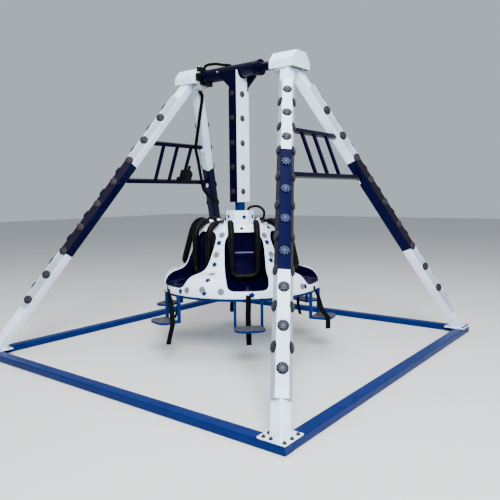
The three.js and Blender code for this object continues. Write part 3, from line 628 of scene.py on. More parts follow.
def rounded(corners: Any, radius: float, steps: int = 4) -> Array:
    """A closed outline with each corner replaced by a curve.

    Each corner turns into the quadratic curve between the points one radius before and after it.

    Args:
        corners: the outline's corners.
        radius: how far from the corner the curve begins, at most 0.45 of a side.
        steps: segments in each curve.

    Returns:
        The outline's points.
    """
    c = np.asarray(corners, float)
    before, after = np.roll(c, 1, axis=0) - c, np.roll(c, -1, axis=0) - c
    reach = [np.minimum(radius, 0.45 * np.linalg.norm(d, axis=1, keepdims=True)) for d in (before, after)]
    a, b = c + unit(before) * reach[0], c + unit(after) * reach[1]
    return curved(a, c, b, np.linspace(0, 1, steps + 1)).reshape(-1, 2)


def rectangle(half_x: float, half_y: float) -> list[tuple[float, float]]:
    """The corners of a rectangle about nought, anticlockwise."""
    return [(-half_x, -half_y), (half_x, -half_y), (half_x, half_y), (-half_x, half_y)]


def sweep(path: Array, section: Array, side: Any, uv: Array | None = None) -> Surface:
    """Carries a closed section along a path and closes both ends.

    A section point (a, b) lands at the path's point plus a times the side direction and b times the
    direction square to both side and path.

    Args:
        path: the path's points.
        section: the section's points, the same for all or one outline for each path point.
        side: a direction, or one for each path point, that is made square to the path.
        uv: map numbers for the (path, section) grid.

    Returns:
        A tube-like surface.
    """
    along = unit(np.gradient(path, axis=0))
    side = np.broadcast_to(np.asarray(side, float), path.shape)
    side = unit(side - along * np.sum(side * along, -1, keepdims=True))
    up = np.cross(along, side)
    outline = np.broadcast_to(section, (len(path), *np.shape(section)[-2:]))
    points = path[:, None] + outline[..., :1] * side[:, None] + outline[..., 1:2] * up[:, None]
    return capped(points, uv)


def prism(section: Array, basis: Array, origin: Array, low: tuple, high: tuple) -> Surface:
    """A straight bar with both ends cut by planes.

    Every corner of the section slides along the bar's axis until its product with the plane's normal
    is the plane's number.

    Args:
        section: the closed outline in the bar's own two directions.
        basis: columns side, up and along.
        origin: a point of the bar's axis.
        low: the first plane as (normal, number).
        high: the last plane as (normal, number).

    Returns:
        The closed bar.
    """
    basis = np.asarray(basis, float)
    lines = section @ basis[:, :2].T + np.asarray(origin, float)
    rings = []
    for normal, number in (low, high):
        normal = np.asarray(normal, float)
        slide = (number - lines @ normal) / (basis[:, 2] @ normal)
        rings.append(lines + slide[:, None] * basis[:, 2])
    return capped(np.array(rings))


def bar(low: Any, high: Any, corner: float = 0.0) -> Surface:
    """An upright block between two corners, its four upright edges rounded."""
    low, high = np.asarray(low, float), np.asarray(high, float)
    half = (high - low) / 2
    outline = np.array(rectangle(half[0], half[1]))
    if corner:
        outline = rounded(outline, corner)
    middle = (low + high) / 2
    return prism(outline, np.eye(3), middle, ((0, 0, 1), low[2]), ((0, 0, 1), high[2]))


def turned_profile(profile: Any, sides: int, uv: bool = False) -> Surface:
    """Revolves a profile of radius and height about the upright axis, first point lowest or innermost."""
    points = swept(profile, np.linspace(0, 2 * math.pi, sides, endpoint=False))
    widest = max(radius for radius, _ in profile)
    return grid(points, wrap=True, uv=points[..., :2] / widest if uv else None)


def domed_cap(radius: float, height: float, fall: float, rows: int, sides: int) -> Surface:
    """A cap whose height falls off with the fourth power of the radius down to a short rim."""
    share = np.linspace(0, 1, rows)
    top = height * (1 - fall * share**4)
    return turned_profile([(0, 0), (radius, 0), *zip((radius * share)[::-1], top[::-1])], sides, uv=True)


def basis_of(normal: Any, up: Any) -> Array:
    """Right-handed axes as columns: the third along a normal, the second as near to up as it can be."""
    n = unit(np.asarray(normal, float))
    u = np.asarray(up, float)
    u = unit(u - n * (u @ n))
    return np.stack([np.cross(u, n), u, n], -1)


def make(
    name: str,
    surface: Surface,
    finish: Finish,
    body: str,
    replaces: tuple[str, ...] = (),
    bevel: float = 0.0,
    sharp: float = SHARP,
    close: bool = True,
) -> bpy.types.Object:
    """Turns a surface into a piece of the ride.

    Args:
        name: the piece's name.
        surface: its points and faces.
        finish: its finish.
        body: the moving body that it rides on.
        replaces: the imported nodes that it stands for.
        bevel: width of the bevel on its sharp edges.
        sharp: the angle in degrees from which an edge stays sharp.
        close: turns all faces outwards, for a closed surface.

    Returns:
        The object.
    """
    mesh = bpy.data.meshes.new(name)
    sizes = np.concatenate([np.full(len(block), block.shape[1]) for block in surface.faces])
    corners = np.concatenate([block.ravel() for block in surface.faces]).astype(np.int32)
    mesh.vertices.add(len(surface.points))
    mesh.vertices.foreach_set("co", surface.points.astype(np.float32).ravel())
    mesh.loops.add(len(corners))
    mesh.loops.foreach_set("vertex_index", corners)
    mesh.polygons.add(len(sizes))
    mesh.polygons.foreach_set("loop_start", (np.cumsum(sizes) - sizes).astype(np.int32))
    mesh.update(calc_edges=True)
    if surface.uv is not None:
        layer = mesh.uv_layers.new(name=OWN_MAP)
        layer.data.foreach_set("uv", surface.uv[corners].astype(np.float32).ravel())
    weld(mesh, outwards=close)
    return finish_piece(mesh, name, finish, body, replaces, bevel, sharp)


def weld(mesh: bpy.types.Mesh, outwards: bool = False, merge_flat: bool = False) -> None:
    """Welds a mesh's doubled points, and where wanted turns its faces outwards or merges its level faces."""
    work = bmesh.new()
    work.from_mesh(mesh)
    bmesh.ops.remove_doubles(work, verts=work.verts, dist=WELD_REACH)
    if outwards:
        bmesh.ops.recalc_face_normals(work, faces=work.faces)
    if merge_flat:
        bmesh.ops.dissolve_limit(work, angle_limit=math.radians(1), verts=work.verts, edges=work.edges)
    work.to_mesh(mesh)
    work.free()


def linked(name: str, data: bpy.types.ID) -> bpy.types.Object:
    """A new object of the scene for a mesh, lamp or camera."""
    item = bpy.data.objects.new(name, data)
    bpy.context.scene.collection.objects.link(item)
    return item


def finish_piece(
    mesh: bpy.types.Mesh,
    name: str,
    finish: Finish,
    body: str,
    replaces: tuple[str, ...],
    bevel: float,
    sharp: float,
) -> bpy.types.Object:
    """Makes the object of a mesh, with its shading, bevel, finish and body."""
    mesh.polygons.foreach_set("use_smooth", np.ones(len(mesh.polygons), bool))
    mesh.set_sharp_from_angle(angle=math.radians(sharp))
    mesh.materials.append(finish.material())
    piece = linked(name, mesh)
    if bevel:
        cut = piece.modifiers.new("edges", "BEVEL")
        cut.width = bevel
        cut.segments = 3
        cut.limit_method = "ANGLE"
        cut.angle_limit = math.radians(max(sharp, 40))
        cut.harden_normals = True
    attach(piece, body)
    if replaces:
        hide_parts(*replaces)
    LOG.info("%s: %d faces on %s", name, len(mesh.polygons), body)
    return piece


def dressed(node: str, finish: Finish, body: str, bevel: float) -> bpy.types.Object:
    """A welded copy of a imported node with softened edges, which stands for it."""
    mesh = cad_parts[node].data.copy()
    mesh.materials.clear()
    weld(mesh, merge_flat=True)
    return finish_piece(mesh, node + "_piece", finish, body, (node,), bevel, SHARP)


def bolts(origins: Any, normals: Any, across: float, washer: bool = True) -> Surface:
    """Hexagon bolt heads with washers, each at a point and along a normal.

    The head is a six-sided outline raised by 0.62 of its width with its rim chamfered.

    Args:
        origins: the points on the face below the washers.
        normals: the directions out of that face, or one for all.
        across: the head's width across corners.
        washer: adds the washer.

    Returns:
        All heads as one surface.
    """
    r, base = across / 2, 0.12 * across if washer else 0.0
    head = turned_profile([(0, base), (r, base), (r, base + 0.5 * across), (0.8 * r, base + 0.62 * across),
                           (0, base + 0.62 * across)], 6)
    if washer:
        disc = [(0, 0), (1.5 * r, 0), (1.5 * r, base * 0.8), (1.4 * r, base), (0, base)]
        head = head + turned_profile(disc, 20)
    origins, normals = np.broadcast_arrays(np.atleast_2d(origins), np.atleast_2d(normals))
    bases = np.array([basis_of(n, (0.31, 0.72, 0.62)) for n in normals])
    return head.scattered(bases, origins)


def bead(path: Array, radius: float, side: Any, seed: int) -> Surface:
    """A weld bead: a round section whose radius swells and shrinks along the path like laid coins."""
    run = travelled(path)
    count = max(int(run[-1] / 0.004), 8)
    at = np.linspace(0, run[-1], count)
    line = np.stack([np.interp(at, run, column) for column in path.T], -1)
    rng = np.random.default_rng(seed)
    swell = 1 + 0.12 * np.sin(np.arange(count) * 2.1) + 0.08 * rng.standard_normal(count)
    outline = circle(radius, 8)[None] * swell[:, None, None]
    return sweep(line, outline, side)


# The sub-assemblies


@dataclass
class GroundFrame:
    """The square frame on the ground, of four rectangular tubes."""

    half_x: float = 1.765
    half_y: float = 1.833
    width: float = 0.1
    height: float = 0.06
    corner: float = 0.008
    weld: float = 0.0028
    weld_low: float = 0.012
    weld_sunk: tuple[float, float, float] = (0.9997, 1, 0.985)

    def beam(self, start: Array, end: Array) -> Surface:
        """One tube with rounded edges between the middles of its two ends."""
        along = unit(end - start)
        side = np.cross(along, (0, 0, 1))
        outline = rounded(rectangle(self.width / 2, self.height / 2), self.corner)
        basis = np.stack([side, (0, 0, 1), along], -1)
        return prism(outline, basis, start, (along, along @ start), (along, along @ end))

    def seams(self) -> Surface:
        """Weld beads down the butt joints at the four corners."""
        beads = []
        for sx in (-1, 1):
            for sy in (-1, 1):
                outer, inner = sx * self.half_x, sx * (self.half_x - self.width)
                y = sy * (self.half_y - self.width)
                line = np.array([(outer, y, self.weld_low), (outer, y, self.height), (inner, y, self.height),
                                 (inner, y, self.weld_low)])
                beads.append(bead(line * self.weld_sunk, self.weld, (0, 1, 0), 11 + sx + 3 * sy))
        return joined(beads)

    def build(self) -> None:
        """Makes the four beams and the seams."""
        z = self.height / 2
        mid_x, mid_y = self.half_x - self.width / 2, self.half_y - self.width / 2
        inner_y = self.half_y - self.width
        ends = {
            "front": ((-self.half_x, -mid_y, z), (self.half_x, -mid_y, z)),
            "rear": ((-self.half_x, mid_y, z), (self.half_x, mid_y, z)),
            "right": ((mid_x, -inner_y, z), (mid_x, inner_y, z)),
            "left": ((-mid_x, -inner_y, z), (-mid_x, inner_y, z)),
        }
        for name, (start, end) in ends.items():
            surface = self.beam(np.array(start), np.array(end))
            make(f"ground_tube_{name}", surface, BLUE, "base", (f"base_beam_{name}",), bevel=0.0015)
        make("ground_frame_welds", self.seams(), BLUE, "base")


@dataclass
class LegLine:
    """The axis of a leg and its directions: along it, square to its two faces, outwards and sideways.

    The signs of x and y say which leg it is.
    """

    sx: int
    sy: int
    foot: tuple[float, float, float] = (1.66, 1.728, 0.07)
    apex: tuple[float, float] = (0.58, 2.78)

    def __post_init__(self) -> None:
        """Works out the leg's directions."""
        low, high = self.at(self.foot[2]), self.at(self.apex[1])
        self.along = unit(high - low)
        face_x = unit(np.cross(self.along, (0, 1, 0)))
        self.face_x = face_x * (1 if face_x[0] * self.sx > 0 else -1)
        self.across = np.cross(self.along, self.face_x)
        face_y = unit(self.across)
        self.face_y = face_y * (1 if face_y[1] * self.sy > 0 else -1)
        self.outward = unit(self.face_x + self.face_y)
        self.sideways = np.cross(self.outward, self.along)

    def at(self, z: float) -> Array:
        """The axis point at a height."""
        share = (z - self.foot[2]) / (self.apex[1] - self.foot[2])
        x = self.foot[0] + (self.apex[0] - self.foot[0]) * share
        return np.array([self.sx * x, self.sy * self.foot[1] * (1 - share), z])


@dataclass
class Leg:
    """One leg: its square tube and foot, the bent cover over its outer half, and the ornaments on it.

    The cover's section is given by the half widths and distances out of its face and flanges. The discs
    sit at the heights given, and those between the two heights of navy are the ones on the navy length.
    """

    name: str
    line: LegLine
    cover_low: float = 0.235
    section: float = 0.1
    corner: float = 0.014
    top: float = 2.6897
    face: float = 0.087
    front: float = 0.0705
    flange_out: float = 0.0715
    flange_back: float = 0.0045
    sheet: float = 0.003
    cover_top: float = 2.52
    disc_radius: float = 0.041
    disc_height: float = 0.017
    disc_clear: float = 0.03
    front_discs: tuple[float, ...] = (2.402, 2.182, 1.9635, 1.749, 1.533, 1.311, 1.086, 0.855, 0.6235, 0.389)
    flange_discs: tuple[float, ...] = (2.304, 2.073, 1.865, 1.650, 1.430, 1.2015, 0.973, 0.748, 0.512)
    foot_bolt_spots: tuple = ((1.589, 1.748), (1.593, 1.811), (1.648, 1.811), (1.749, 1.735), (1.747, 1.811),
                              (1.746, 1.660))
    navy: tuple[float, float] = (0.965, 1.872)
    plate_x: tuple[float, float] = (1.765, 1.555)
    plate_y: tuple[float, float] = (1.833, 1.623)
    plate_z: tuple[float, float] = (0.0602, 0.07)
    weld: float = 0.005
    tube_low: float = 0.0698
    foot_bolt: float = 0.020

    def outline(self) -> Array:
        """The tube's square section with rounded corners."""
        return rounded(rectangle(self.section / 2, self.section / 2), self.corner, 6)

    def tube(self) -> Surface:
        """The square tube, cut level just inside the foot plate and under the head."""
        line = self.line
        basis = np.stack([line.face_x, line.across, line.along], -1)
        return prism(self.outline(), basis, line.at(1.0), ((0, 0, 1), self.tube_low), ((0, 0, 1), self.top))

    def foot(self) -> Surface:
        """The foot plate with rounded corners, and the weld round the tube."""
        line, top = self.line, self.plate_z[1]
        xs, ys = sorted(line.sx * x for x in self.plate_x), sorted(line.sy * y for y in self.plate_y)
        plate = bar(*zip(xs, ys, self.plate_z), 0.008)
        outline = self.outline()
        ring = outline[:, :1] * line.face_x + outline[:, 1:] * line.across + line.at(top)
        ring = ring - line.along * ((ring[:, 2:] - (top + 0.001)) / line.along[2])
        ring = np.concatenate([ring, ring[:2]])
        return plate + bead(ring, self.weld, (0, 0, 1), 5 + line.sx + 2 * line.sy)

    def foot_bolts(self) -> Surface:
        """The bolts through the plate round the tube."""
        spots = [(self.line.sx * x, self.line.sy * y, self.plate_z[1]) for x, y in self.foot_bolt_spots]
        return bolts(spots, (0.0, 0.0, 1.0), self.foot_bolt)

    def cover(self) -> Surface:
        """The bent sheet: a flat front and two flanges folded back, as one closed outline."""
        outer = [(-self.flange_out, self.flange_back), (-self.face / 2, self.front), (self.face / 2, self.front),
                 (self.flange_out, self.flange_back)]
        t = self.sheet
        inner = [(self.flange_out - t, self.flange_back), (self.face / 2 - 0.6 * t, self.front - t),
                 (0.6 * t - self.face / 2, self.front - t), (t - self.flange_out, self.flange_back)]
        outline = rounded(outer + inner, 0.0035, 4)
        line = self.line
        basis = np.stack([line.sideways, line.outward, line.along], -1)
        low, high = line.at(self.cover_low), line.at(self.cover_top)
        made = prism(outline, basis, low, (line.along, line.along @ low), (line.along, line.along @ high))
        made.uv = np.stack([(made.points - low) @ line.sideways, (made.points - low) @ line.along], -1)
        return made

    def ornaments(self) -> dict[str, Surface]:
        """The discs by kind: on the white front, on the navy front and on the flanges, the flange ones darker as
        painted shade.
        """
        line = self.line
        disc = domed_cap(self.disc_radius, self.disc_height, 0.72, 9, 28)
        spots: dict[str, list] = {"dark": [], "navy": [], "shaded_flange": []}
        slant = unit(np.array([self.front - self.flange_back, self.flange_out - self.face / 2]))
        front, flange = ([z for z in heights if z > self.cover_low + self.disc_clear]
                         for heights in (self.front_discs, self.flange_discs))
        for z in front:
            kind = "navy" if self.navy[0] < z < self.navy[1] else "dark"
            spots[kind].append((line.at(z) + line.outward * self.front, basis_of(line.outward, line.along)))
        # The flange discs take the darker ornament as painted shade
        for z in flange:
            for side in (-1, 1):
                normal = side * slant[0] * line.sideways + slant[1] * line.outward
                middle = side * (self.flange_out + self.face / 2) / 2 * line.sideways
                middle = middle + (self.front + self.flange_back) / 2 * line.outward
                spots["shaded_flange"].append((line.at(z) + middle, basis_of(normal, line.along)))
        return {
            kind: disc.scattered(np.array([b for _, b in found]), np.array([o for o, _ in found]))
            for kind, found in spots.items()
        }

    def build(self) -> None:
        """Makes the leg's pieces."""
        node = f"leg_{self.name}"
        make(f"{node}_tube", self.tube(), BANDED, "base", (node,))
        make(f"{node}_foot", self.foot(), WHITE, "base", bevel=0.0015)
        make(f"{node}_foot_bolts", self.foot_bolts(), DULL_BOLT, "base")
        make(f"{node}_cover", self.cover(), BANDED, "base", (f"leg_cover_{self.name}",))
        finishes = {"dark": DARK_DISC, "navy": NAVY_DISC, "shaded_flange": SHADED_FLANGE_DISC}
        for kind, surface in self.ornaments().items():
            make(f"{node}_{kind}_ornaments", surface, finishes[kind], "base", sharp=50)


@dataclass
class UpperFrame:
    """What joins the legs: the ladder braces, the heads and their shrouds.

    Distances along x are those of the right side and are mirrored for the left. The screws are pairs of
    x and height.
    """

    screws: tuple = ((0.52, 2.708), (0.60, 2.712))
    screw_y: float = -0.147
    floor_x: tuple[float, float] = (0.479, 0.728)
    floor_y: float = 0.141
    floor_z: tuple[float, float] = (2.6808, 2.6838)
    lug_heights: tuple[float, float] = (1.69, 2.08)
    lug_half: tuple[float, float] = (0.016, 0.024)
    lug_sheet: float = 0.004
    leg_half: float = 0.05

    def build(self) -> None:
        """Makes the pieces of both sides."""
        for side, name in ((1, "right"), (-1, "left")):
            dressed(f"brace_{name}", NAVY, "base", 0.004)
            dressed(f"head_{name}", GREY, "base", 0.003)
            dressed(f"shroud_{name}", WHITE, "base", 0.004)
            xs = sorted(side * x for x in self.floor_x)
            floor = bar(*zip(xs, (-self.floor_y, self.floor_y), self.floor_z), 0.004)
            make(f"shroud_{name}_floor", floor, WHITE, "base")
            spots = [(side * x, self.screw_y, z) for x, z in self.screws]
            screws = bolts(spots, (0.0, -1.0, 0.0), 0.009, washer=False)
            make(f"shroud_{name}_screws", screws, ZINC, "base")
            make(f"brace_{name}_lugs", self.lugs(side), WHITE, "base", bevel=0.0015)

    def lugs(self, side: int) -> Surface:
        """The pale plates by which the rails are bolted to the legs."""
        plates = []
        outline = rounded(rectangle(*self.lug_half), 0.004)
        for leg in (LegLine(side, -1), LegLine(side, 1)):
            basis = np.stack([leg.face_y, leg.along, leg.face_x], -1)
            for z in self.lug_heights:
                centre = leg.at(z) - leg.face_y * (self.leg_half + 0.018) - leg.face_x * 0.0225
                low, high = (centre @ leg.face_x + way * self.lug_sheet / 2 for way in (-1, 1))
                plates.append(prism(outline, basis, centre, (leg.face_x, low), (leg.face_x, high)))
        return joined(plates)


@dataclass
class Arm:
    """The swinging arm: the cross tube, the box beam under it with its cover plates, and the neck.

    The screws are pairs of x and the angle in degrees above level. The ears, strip and block are given by
    two opposite corners each.
    """

    shaft_z: float = 2.75
    tube: float = 0.0675
    shaft: float = 0.0425
    flange: float = 0.076
    tube_left: float = -0.432
    tube_right: float = 0.285
    flange_from: float = 0.247
    end: float = 0.706
    plate_x: float = 0.0483
    plate_shift: float = 0.012
    side_y: float = 0.102
    bolt_circle: float = 0.060
    screws: tuple = ((-0.217, 10), (-0.163, -9))
    ears: tuple = (
        ((-0.466, -0.102, 2.796), (-0.437, -0.030, 2.844)),
        ((-0.466, -0.120, 2.702), (-0.437, -0.030, 2.779)),
    )
    ear_bolt: tuple[float, float, float] = (-0.4515, -0.084, 2.844)
    strip: tuple = ((-0.462, -0.096, 2.7792), (-0.441, -0.05, 2.7958))
    block: tuple = ((-0.402, -0.024, 2.646), (-0.358, 0.024, 2.692))
    discs: tuple[float, ...] = (2.52, 2.286, 2.044, 1.806, 1.566)
    disc_radius: float = 0.030
    disc_height: float = 0.021

    def along_x(self, profile: Any) -> Surface:
        """Revolves a profile of radius and x about the shaft's axis."""
        made = turned_profile(profile, 72)
        points = np.stack([made.points[:, 2], made.points[:, 0], made.points[:, 1] + self.shaft_z], -1)
        return Surface(points, made.faces)

    def cross_tube(self) -> Surface:
        """Tube, flange and stub shafts as one profile with small chamfers and a weld step."""
        e, c = self.end, 0.003
        profile = [
            (0, -e), (self.shaft - c, -e), (self.shaft, -e + c), (self.shaft, self.tube_left - 0.006),
            (self.shaft + 0.006, self.tube_left), (self.tube - c, self.tube_left), (self.tube, self.tube_left + c),
            (self.tube, 0.205), (self.tube + 0.0025, 0.209), (self.tube + 0.003, 0.214), (self.tube, 0.219),
            (self.tube, self.flange_from - 0.004), (self.tube + 0.003, self.flange_from),
            (self.flange - 0.002, self.flange_from), (self.flange, self.flange_from + 0.002),
            (self.flange, self.tube_right - 0.002), (self.flange - 0.002, self.tube_right),
            (self.shaft + 0.008, self.tube_right), (self.shaft, self.tube_right + 0.008),
            (self.shaft, e - c), (self.shaft - c, e), (0, e),
        ]
        return self.along_x(profile)

    def tube_bolts(self) -> Surface:
        """Small painted bolts round the flange's right face."""
        angle = np.radians(np.arange(8) * 45 + 12)
        y, z = self.bolt_circle * np.cos(angle), self.shaft_z + self.bolt_circle * np.sin(angle)
        return bolts(np.stack([np.full(8, self.tube_right), y, z], -1), (1.0, 0.0, 0.0), 0.011)

    def tube_screws(self) -> Surface:
        """Two screws on the tube's front."""
        made = []
        for x, lift in self.screws:
            normal = np.array([0, -math.cos(math.radians(lift)), math.sin(math.radians(lift))])
            made.append(bolts(normal * self.tube + (x, 0, self.shaft_z), normal, 0.013))
        return joined(made)

    def clamp(self) -> Surface:
        """The split clamp's two ears at the shaft, and the block under the tube's left end."""
        made = []
        for low, high in self.ears:
            low, high = np.array(low), np.array(high)
            middle, half = (low + high) / 2, (high - low) / 2
            outline = rounded(rectangle(half[1], half[2]), 0.014, 5)
            made.append(prism(outline, ALONG_X, middle, ((1, 0, 0), low[0]), ((1, 0, 0), high[0])))
        return joined(made) + bar(*self.block, 0.006)

    def clamp_bolts(self) -> Surface:
        """The bolt down through the clamp's upper ear, and a zinc strip between the ears."""
        return bar(*self.strip, 0.002) + bolts(self.ear_bolt, (0.0, 0, 1), 0.016)

    def ornaments(self, faces: tuple, depth: float) -> Surface:
        """Discs down two opposite faces, each face given as its outward direction and sideways shift."""
        spots, bases = [], []
        for normal, shift in faces:
            basis = basis_of(normal, (0, 0, 1))
            for z in self.discs:
                spots.append(np.array(normal) * depth + basis[:, 0] * shift + (0, 0, z))
                bases.append(basis)
        cap = domed_cap(self.disc_radius, self.disc_height, 0.7, 8, 24)
        return cap.scattered(np.array(bases), np.array(spots))

    def build(self) -> None:
        """Makes the arm's pieces."""
        make("cross_tube_piece", self.cross_tube(), NAVY, "arm", ("cross_tube",))
        make("cross_tube_bolts", self.tube_bolts(), NAVY, "arm")
        make("cross_tube_screws", self.tube_screws(), ZINC, "arm")
        dressed("shaft_clamp_ring", RUBBER, "arm", 0.004)
        make("shaft_clamp_ears", self.clamp(), PLASTIC, "arm", bevel=0.003)
        make("shaft_clamp_bolts", self.clamp_bolts(), ZINC, "arm")
        dressed("arm_beam", NAVY, "arm", 0.004)
        dressed("arm_cover_right", PLATE_WHITE, "arm", 0.0012)
        dressed("arm_cover_left", PLATE_WHITE, "arm", 0.0012)
        dressed("arm_neck", NECK_BLUE, "arm", 0.002)
        plates = (((1.0, 0.0, 0.0), -self.plate_shift), ((-1.0, 0.0, 0.0), self.plate_shift))
        make("arm_plate_ornaments", self.ornaments(plates, self.plate_x), DARK_DISC, "arm", sharp=50)
        sides = (((0.0, 1.0, 0.0), 0.0), ((0.0, -1.0, 0.0), 0.0))
        make("arm_side_ornaments", self.ornaments(sides, self.side_y), DIM_DISC, "arm", sharp=50)


@dataclass
class Bell:
    """The gondola's outer skin as a function of a bearing and a run up its profile."""

    knots: tuple = (
        (0.795, 0.610), (0.800, 0.618), (0.8005, 0.636), (0.800, 0.655), (0.791, 0.700), (0.768, 0.742),
        (0.735, 0.775), (0.690, 0.795), (0.640, 0.808), (0.595, 0.825), (0.555, 0.860), (0.524, 0.920), (0.498, 0.985),
        (0.468, 1.055), (0.438, 1.115), (0.402, 1.172), (0.368, 1.215), (0.330, 1.245), (0.300, 1.255),
    )
    decal_lift: float = 0.0012

    def __post_init__(self) -> None:
        """Works out the smooth profile."""
        self.line = spline(self.knots, 900)
        self.run = travelled(self.line)
        self.height = np.maximum.accumulate(self.line[:, 1])

    def run_at(self, z: Any) -> Array:
        """The run up the profile at a height."""
        return np.interp(z, self.height, self.run)

    def radius_on(self, run: Any) -> Array:
        """The skin's radius at a run."""
        return np.interp(run, self.run, self.line[:, 0])

    def radius_at(self, z: Any) -> Array:
        """The skin's radius at a height."""
        return self.radius_on(self.run_at(z))

    def at(self, bearing: Array, run: Array, lift: float = 0.0) -> Array:
        """Points of the skin: the radius and height at the run, turned to the bearing, lifted off it."""
        bearing, run = np.broadcast_arrays(np.asarray(bearing, float), np.asarray(run, float))
        slope = np.gradient(self.line, self.run, axis=0)
        r, z, tr, tz = (np.interp(run, self.run, column) for column in (*self.line.T, *slope.T))
        size = np.hypot(tr, tz)
        r, z = r + lift * tz / size, z - lift * tr / size
        return np.stack([r * np.cos(bearing), r * np.sin(bearing), z], -1)

    def decals(self, spots: list, outline: Array, rings: int = 3) -> Surface:
        """Flat figures laid on the skin.

        A figure's point (x, y) goes to the bearing plus x over the radius and the run plus y.

        Args:
            spots: bearing in radians, height, size and turn in radians of each figure.
            outline: the figure's outline within the unit circle.
            rings: rows of points from the middle to the outline.

        Returns:
            The figures as one surface with a map of the unit circle.
        """
        made = []
        share = np.linspace(0, 1, rings + 1)[:, None, None]
        for bearing, z, size, turn in spots:
            c, s = math.cos(turn), math.sin(turn)
            local = outline @ np.array([[c, s], [-s, c]])
            flat = share * local[None] * size
            radius = float(self.radius_at(z))
            points = self.at(bearing + flat[..., 0] / radius, self.run_at(z) + flat[..., 1], self.decal_lift)
            here = grid(points, wrap=True, uv=np.broadcast_to(share * outline[None], (*points.shape[:2], 2)))
            here.faces = [block[:, ::-1] for block in here.faces]
            made.append(here)
        return joined(made)


class Kind(Enum):
    """The two figures stuck on the shell."""

    STAR = "star"
    SWIRL = "swirl"


@dataclass
class Gondola:
    """The round gondola: white shell, six navy seats, crown, hoop and what is stuck or bolted on.

    Profiles are pairs of radius and height. The outline of a seat's opening is pairs of distance across
    and height, and the stars and swirls are placed by bearing in degrees and height.
    """

    seats: int = 6
    first: float = -47.0
    bell: Bell = field(default_factory=Bell)
    border_low: float = 0.646
    lip: float = 0.008
    least_reach: float = 0.004
    star_size: float = 0.034
    swirl_size: float = 0.031
    under_rim: tuple = ((0.788, 0.6095), (0.772, 0.6105), (0.768, 0.616), (0.755, 0.618), (0.4, 0.618), (0.0, 0.618))
    hoop_radii: tuple[float, float] = (0.745, 0.7857)
    hoop_heights: tuple[float, float] = (0.5848, 0.6095)
    stud: tuple = ((0, -0.001), (0.0165, -0.001), (0.0165, 0.002), (0.014, 0.005), (0.008, 0.0072), (0, 0.008))
    stud_height: float = 1.213
    stud_first: float = -49.7
    studs: int = 8
    crown_corner: float = 0.14
    crown_star: float = 0.029
    crown_star_height: float = 1.313
    crown_star_shift: float = 0.03
    outline: tuple = (
        (0.125, 0.678), (0.143, 0.681), (0.161, 0.688), (0.174, 0.699), (0.182, 0.713), (0.188, 0.737),
        (0.190, 0.765), (0.191, 0.830), (0.191, 0.920), (0.190, 1.000), (0.187, 1.045), (0.181, 1.085),
        (0.169, 1.120), (0.151, 1.145), (0.127, 1.165), (0.100, 1.180),
    )
    # Down the middle of a seat from its front lip over the pan and up the back to the top edge: radius,
    # height, half width, height of the edge beside it, and how far the row bends round with the skin
    tub: tuple = (
        (0.7955, 0.6780, 0.125, 0.678, 1.00),
        (0.7865, 0.6865, 0.142, 0.6825, 0.97),
        (0.7650, 0.6895, 0.160, 0.692, 0.80),
        (0.7000, 0.6900, 0.176, 0.745, 0.30),
        (0.6000, 0.7020, 0.185, 0.795, 0.0),
        (0.4800, 0.7160, 0.186, 0.860, 0.0),
        (0.4200, 0.7300, 0.182, 0.905, 0.0),
        (0.3800, 0.7550, 0.174, 0.945, 0.0),
        (0.3580, 0.7900, 0.166, 0.975, 0.0),
        (0.3470, 0.8400, 0.159, 1.000, 0.0),
        (0.3400, 0.9100, 0.155, 1.030, 0.0),
        (0.3370, 0.9640, 0.153, 1.048, 0.0),
        (0.3455, 0.9720, 0.153, 1.051, 0.0),
        (0.3463, 0.9770, 0.153, 1.054, 0.0),
        (0.3412, 0.9910, 0.153, 1.061, 0.0),
        (0.3390, 1.0400, 0.152, 1.085, 0.0),
        (0.3270, 1.1450, 0.136, 1.145, 0.0),
        (0.3290, 1.1640, 0.119, 1.165, 0.3),
        (0.3480, 1.1765, 0.106, 1.175, 0.7),
        (0.3962, 1.1800, 0.100, 1.180, 1.0),
    )
    stuck: dict = field(default_factory=lambda: {
        Kind.STAR: ((-96, 0.650), (-76.2, 0.658), (-44.7, 0.645), (-2.7, 0.674), (-78.0, 1.080), (-78.7, 0.884),
                    (-75.3, 0.768), (-18.0, 1.080), (-18.7, 0.915)),
        Kind.SWIRL: ((-90, 0.668), (-77.8, 0.686), (-64.7, 0.676), (-6.0, 0.680), (-133, 0.652), (-113, 0.650),
                     (-138.7, 0.940), (-137.5, 0.812), (-138.5, 0.850), (-76.7, 1.152), (-78.7, 0.972),
                     (-76.0, 0.808), (-18.7, 1.144), (-16.7, 0.968)),
    })
    thigh_depth: float = 0.020
    thigh_apart: float = 0.088
    thigh_wide: float = 0.048
    ridge_height: float = 0.030
    back_hollow: float = 0.005
    soft_corner: float = 0.045
    rows: int = 170
    flat_cols: int = 22
    curve_cols: int = 9
    wall_cols: int = 7

    def bearing(self, number: int) -> float:
        """The bearing of a seat in degrees."""
        return self.first + 360 / self.seats * (number - 1)

    def rail(self) -> dict[str, Array]:
        """The lines of half a seat about bearing nought, one point for each row of the seat.

        Returns:
            The middle's radius and height, the half width, how far rows bend round, and the opening's
            edge on the skin as bearing and run.
        """
        bell = self.bell
        knots = np.array(self.tub)
        knots[0, 0] = bell.radius_at(knots[0, 1])
        knots[-1, 0] = bell.radius_at(knots[-1, 1])
        # The third number is nought, so that the line's length comes from radius and height alone
        line = spline(knots[:, [0, 1, 1, 2, 3, 4]] * (1, 1, 0, 1, 1, 1), self.rows)
        radius, height, half, beside, bend = (line[:, i] for i in (0, 1, 3, 4, 5))
        front = spline(self.outline, 300)
        across = np.interp(beside, np.maximum.accumulate(front[:, 1]), front[:, 0])
        reach = bell.radius_at(beside)
        edge = np.stack([np.arcsin(across / reach), bell.run_at(beside)], -1)
        return {"radius": radius, "height": height, "half": half, "bend": np.clip(bend, 0, 1), "edge": edge}

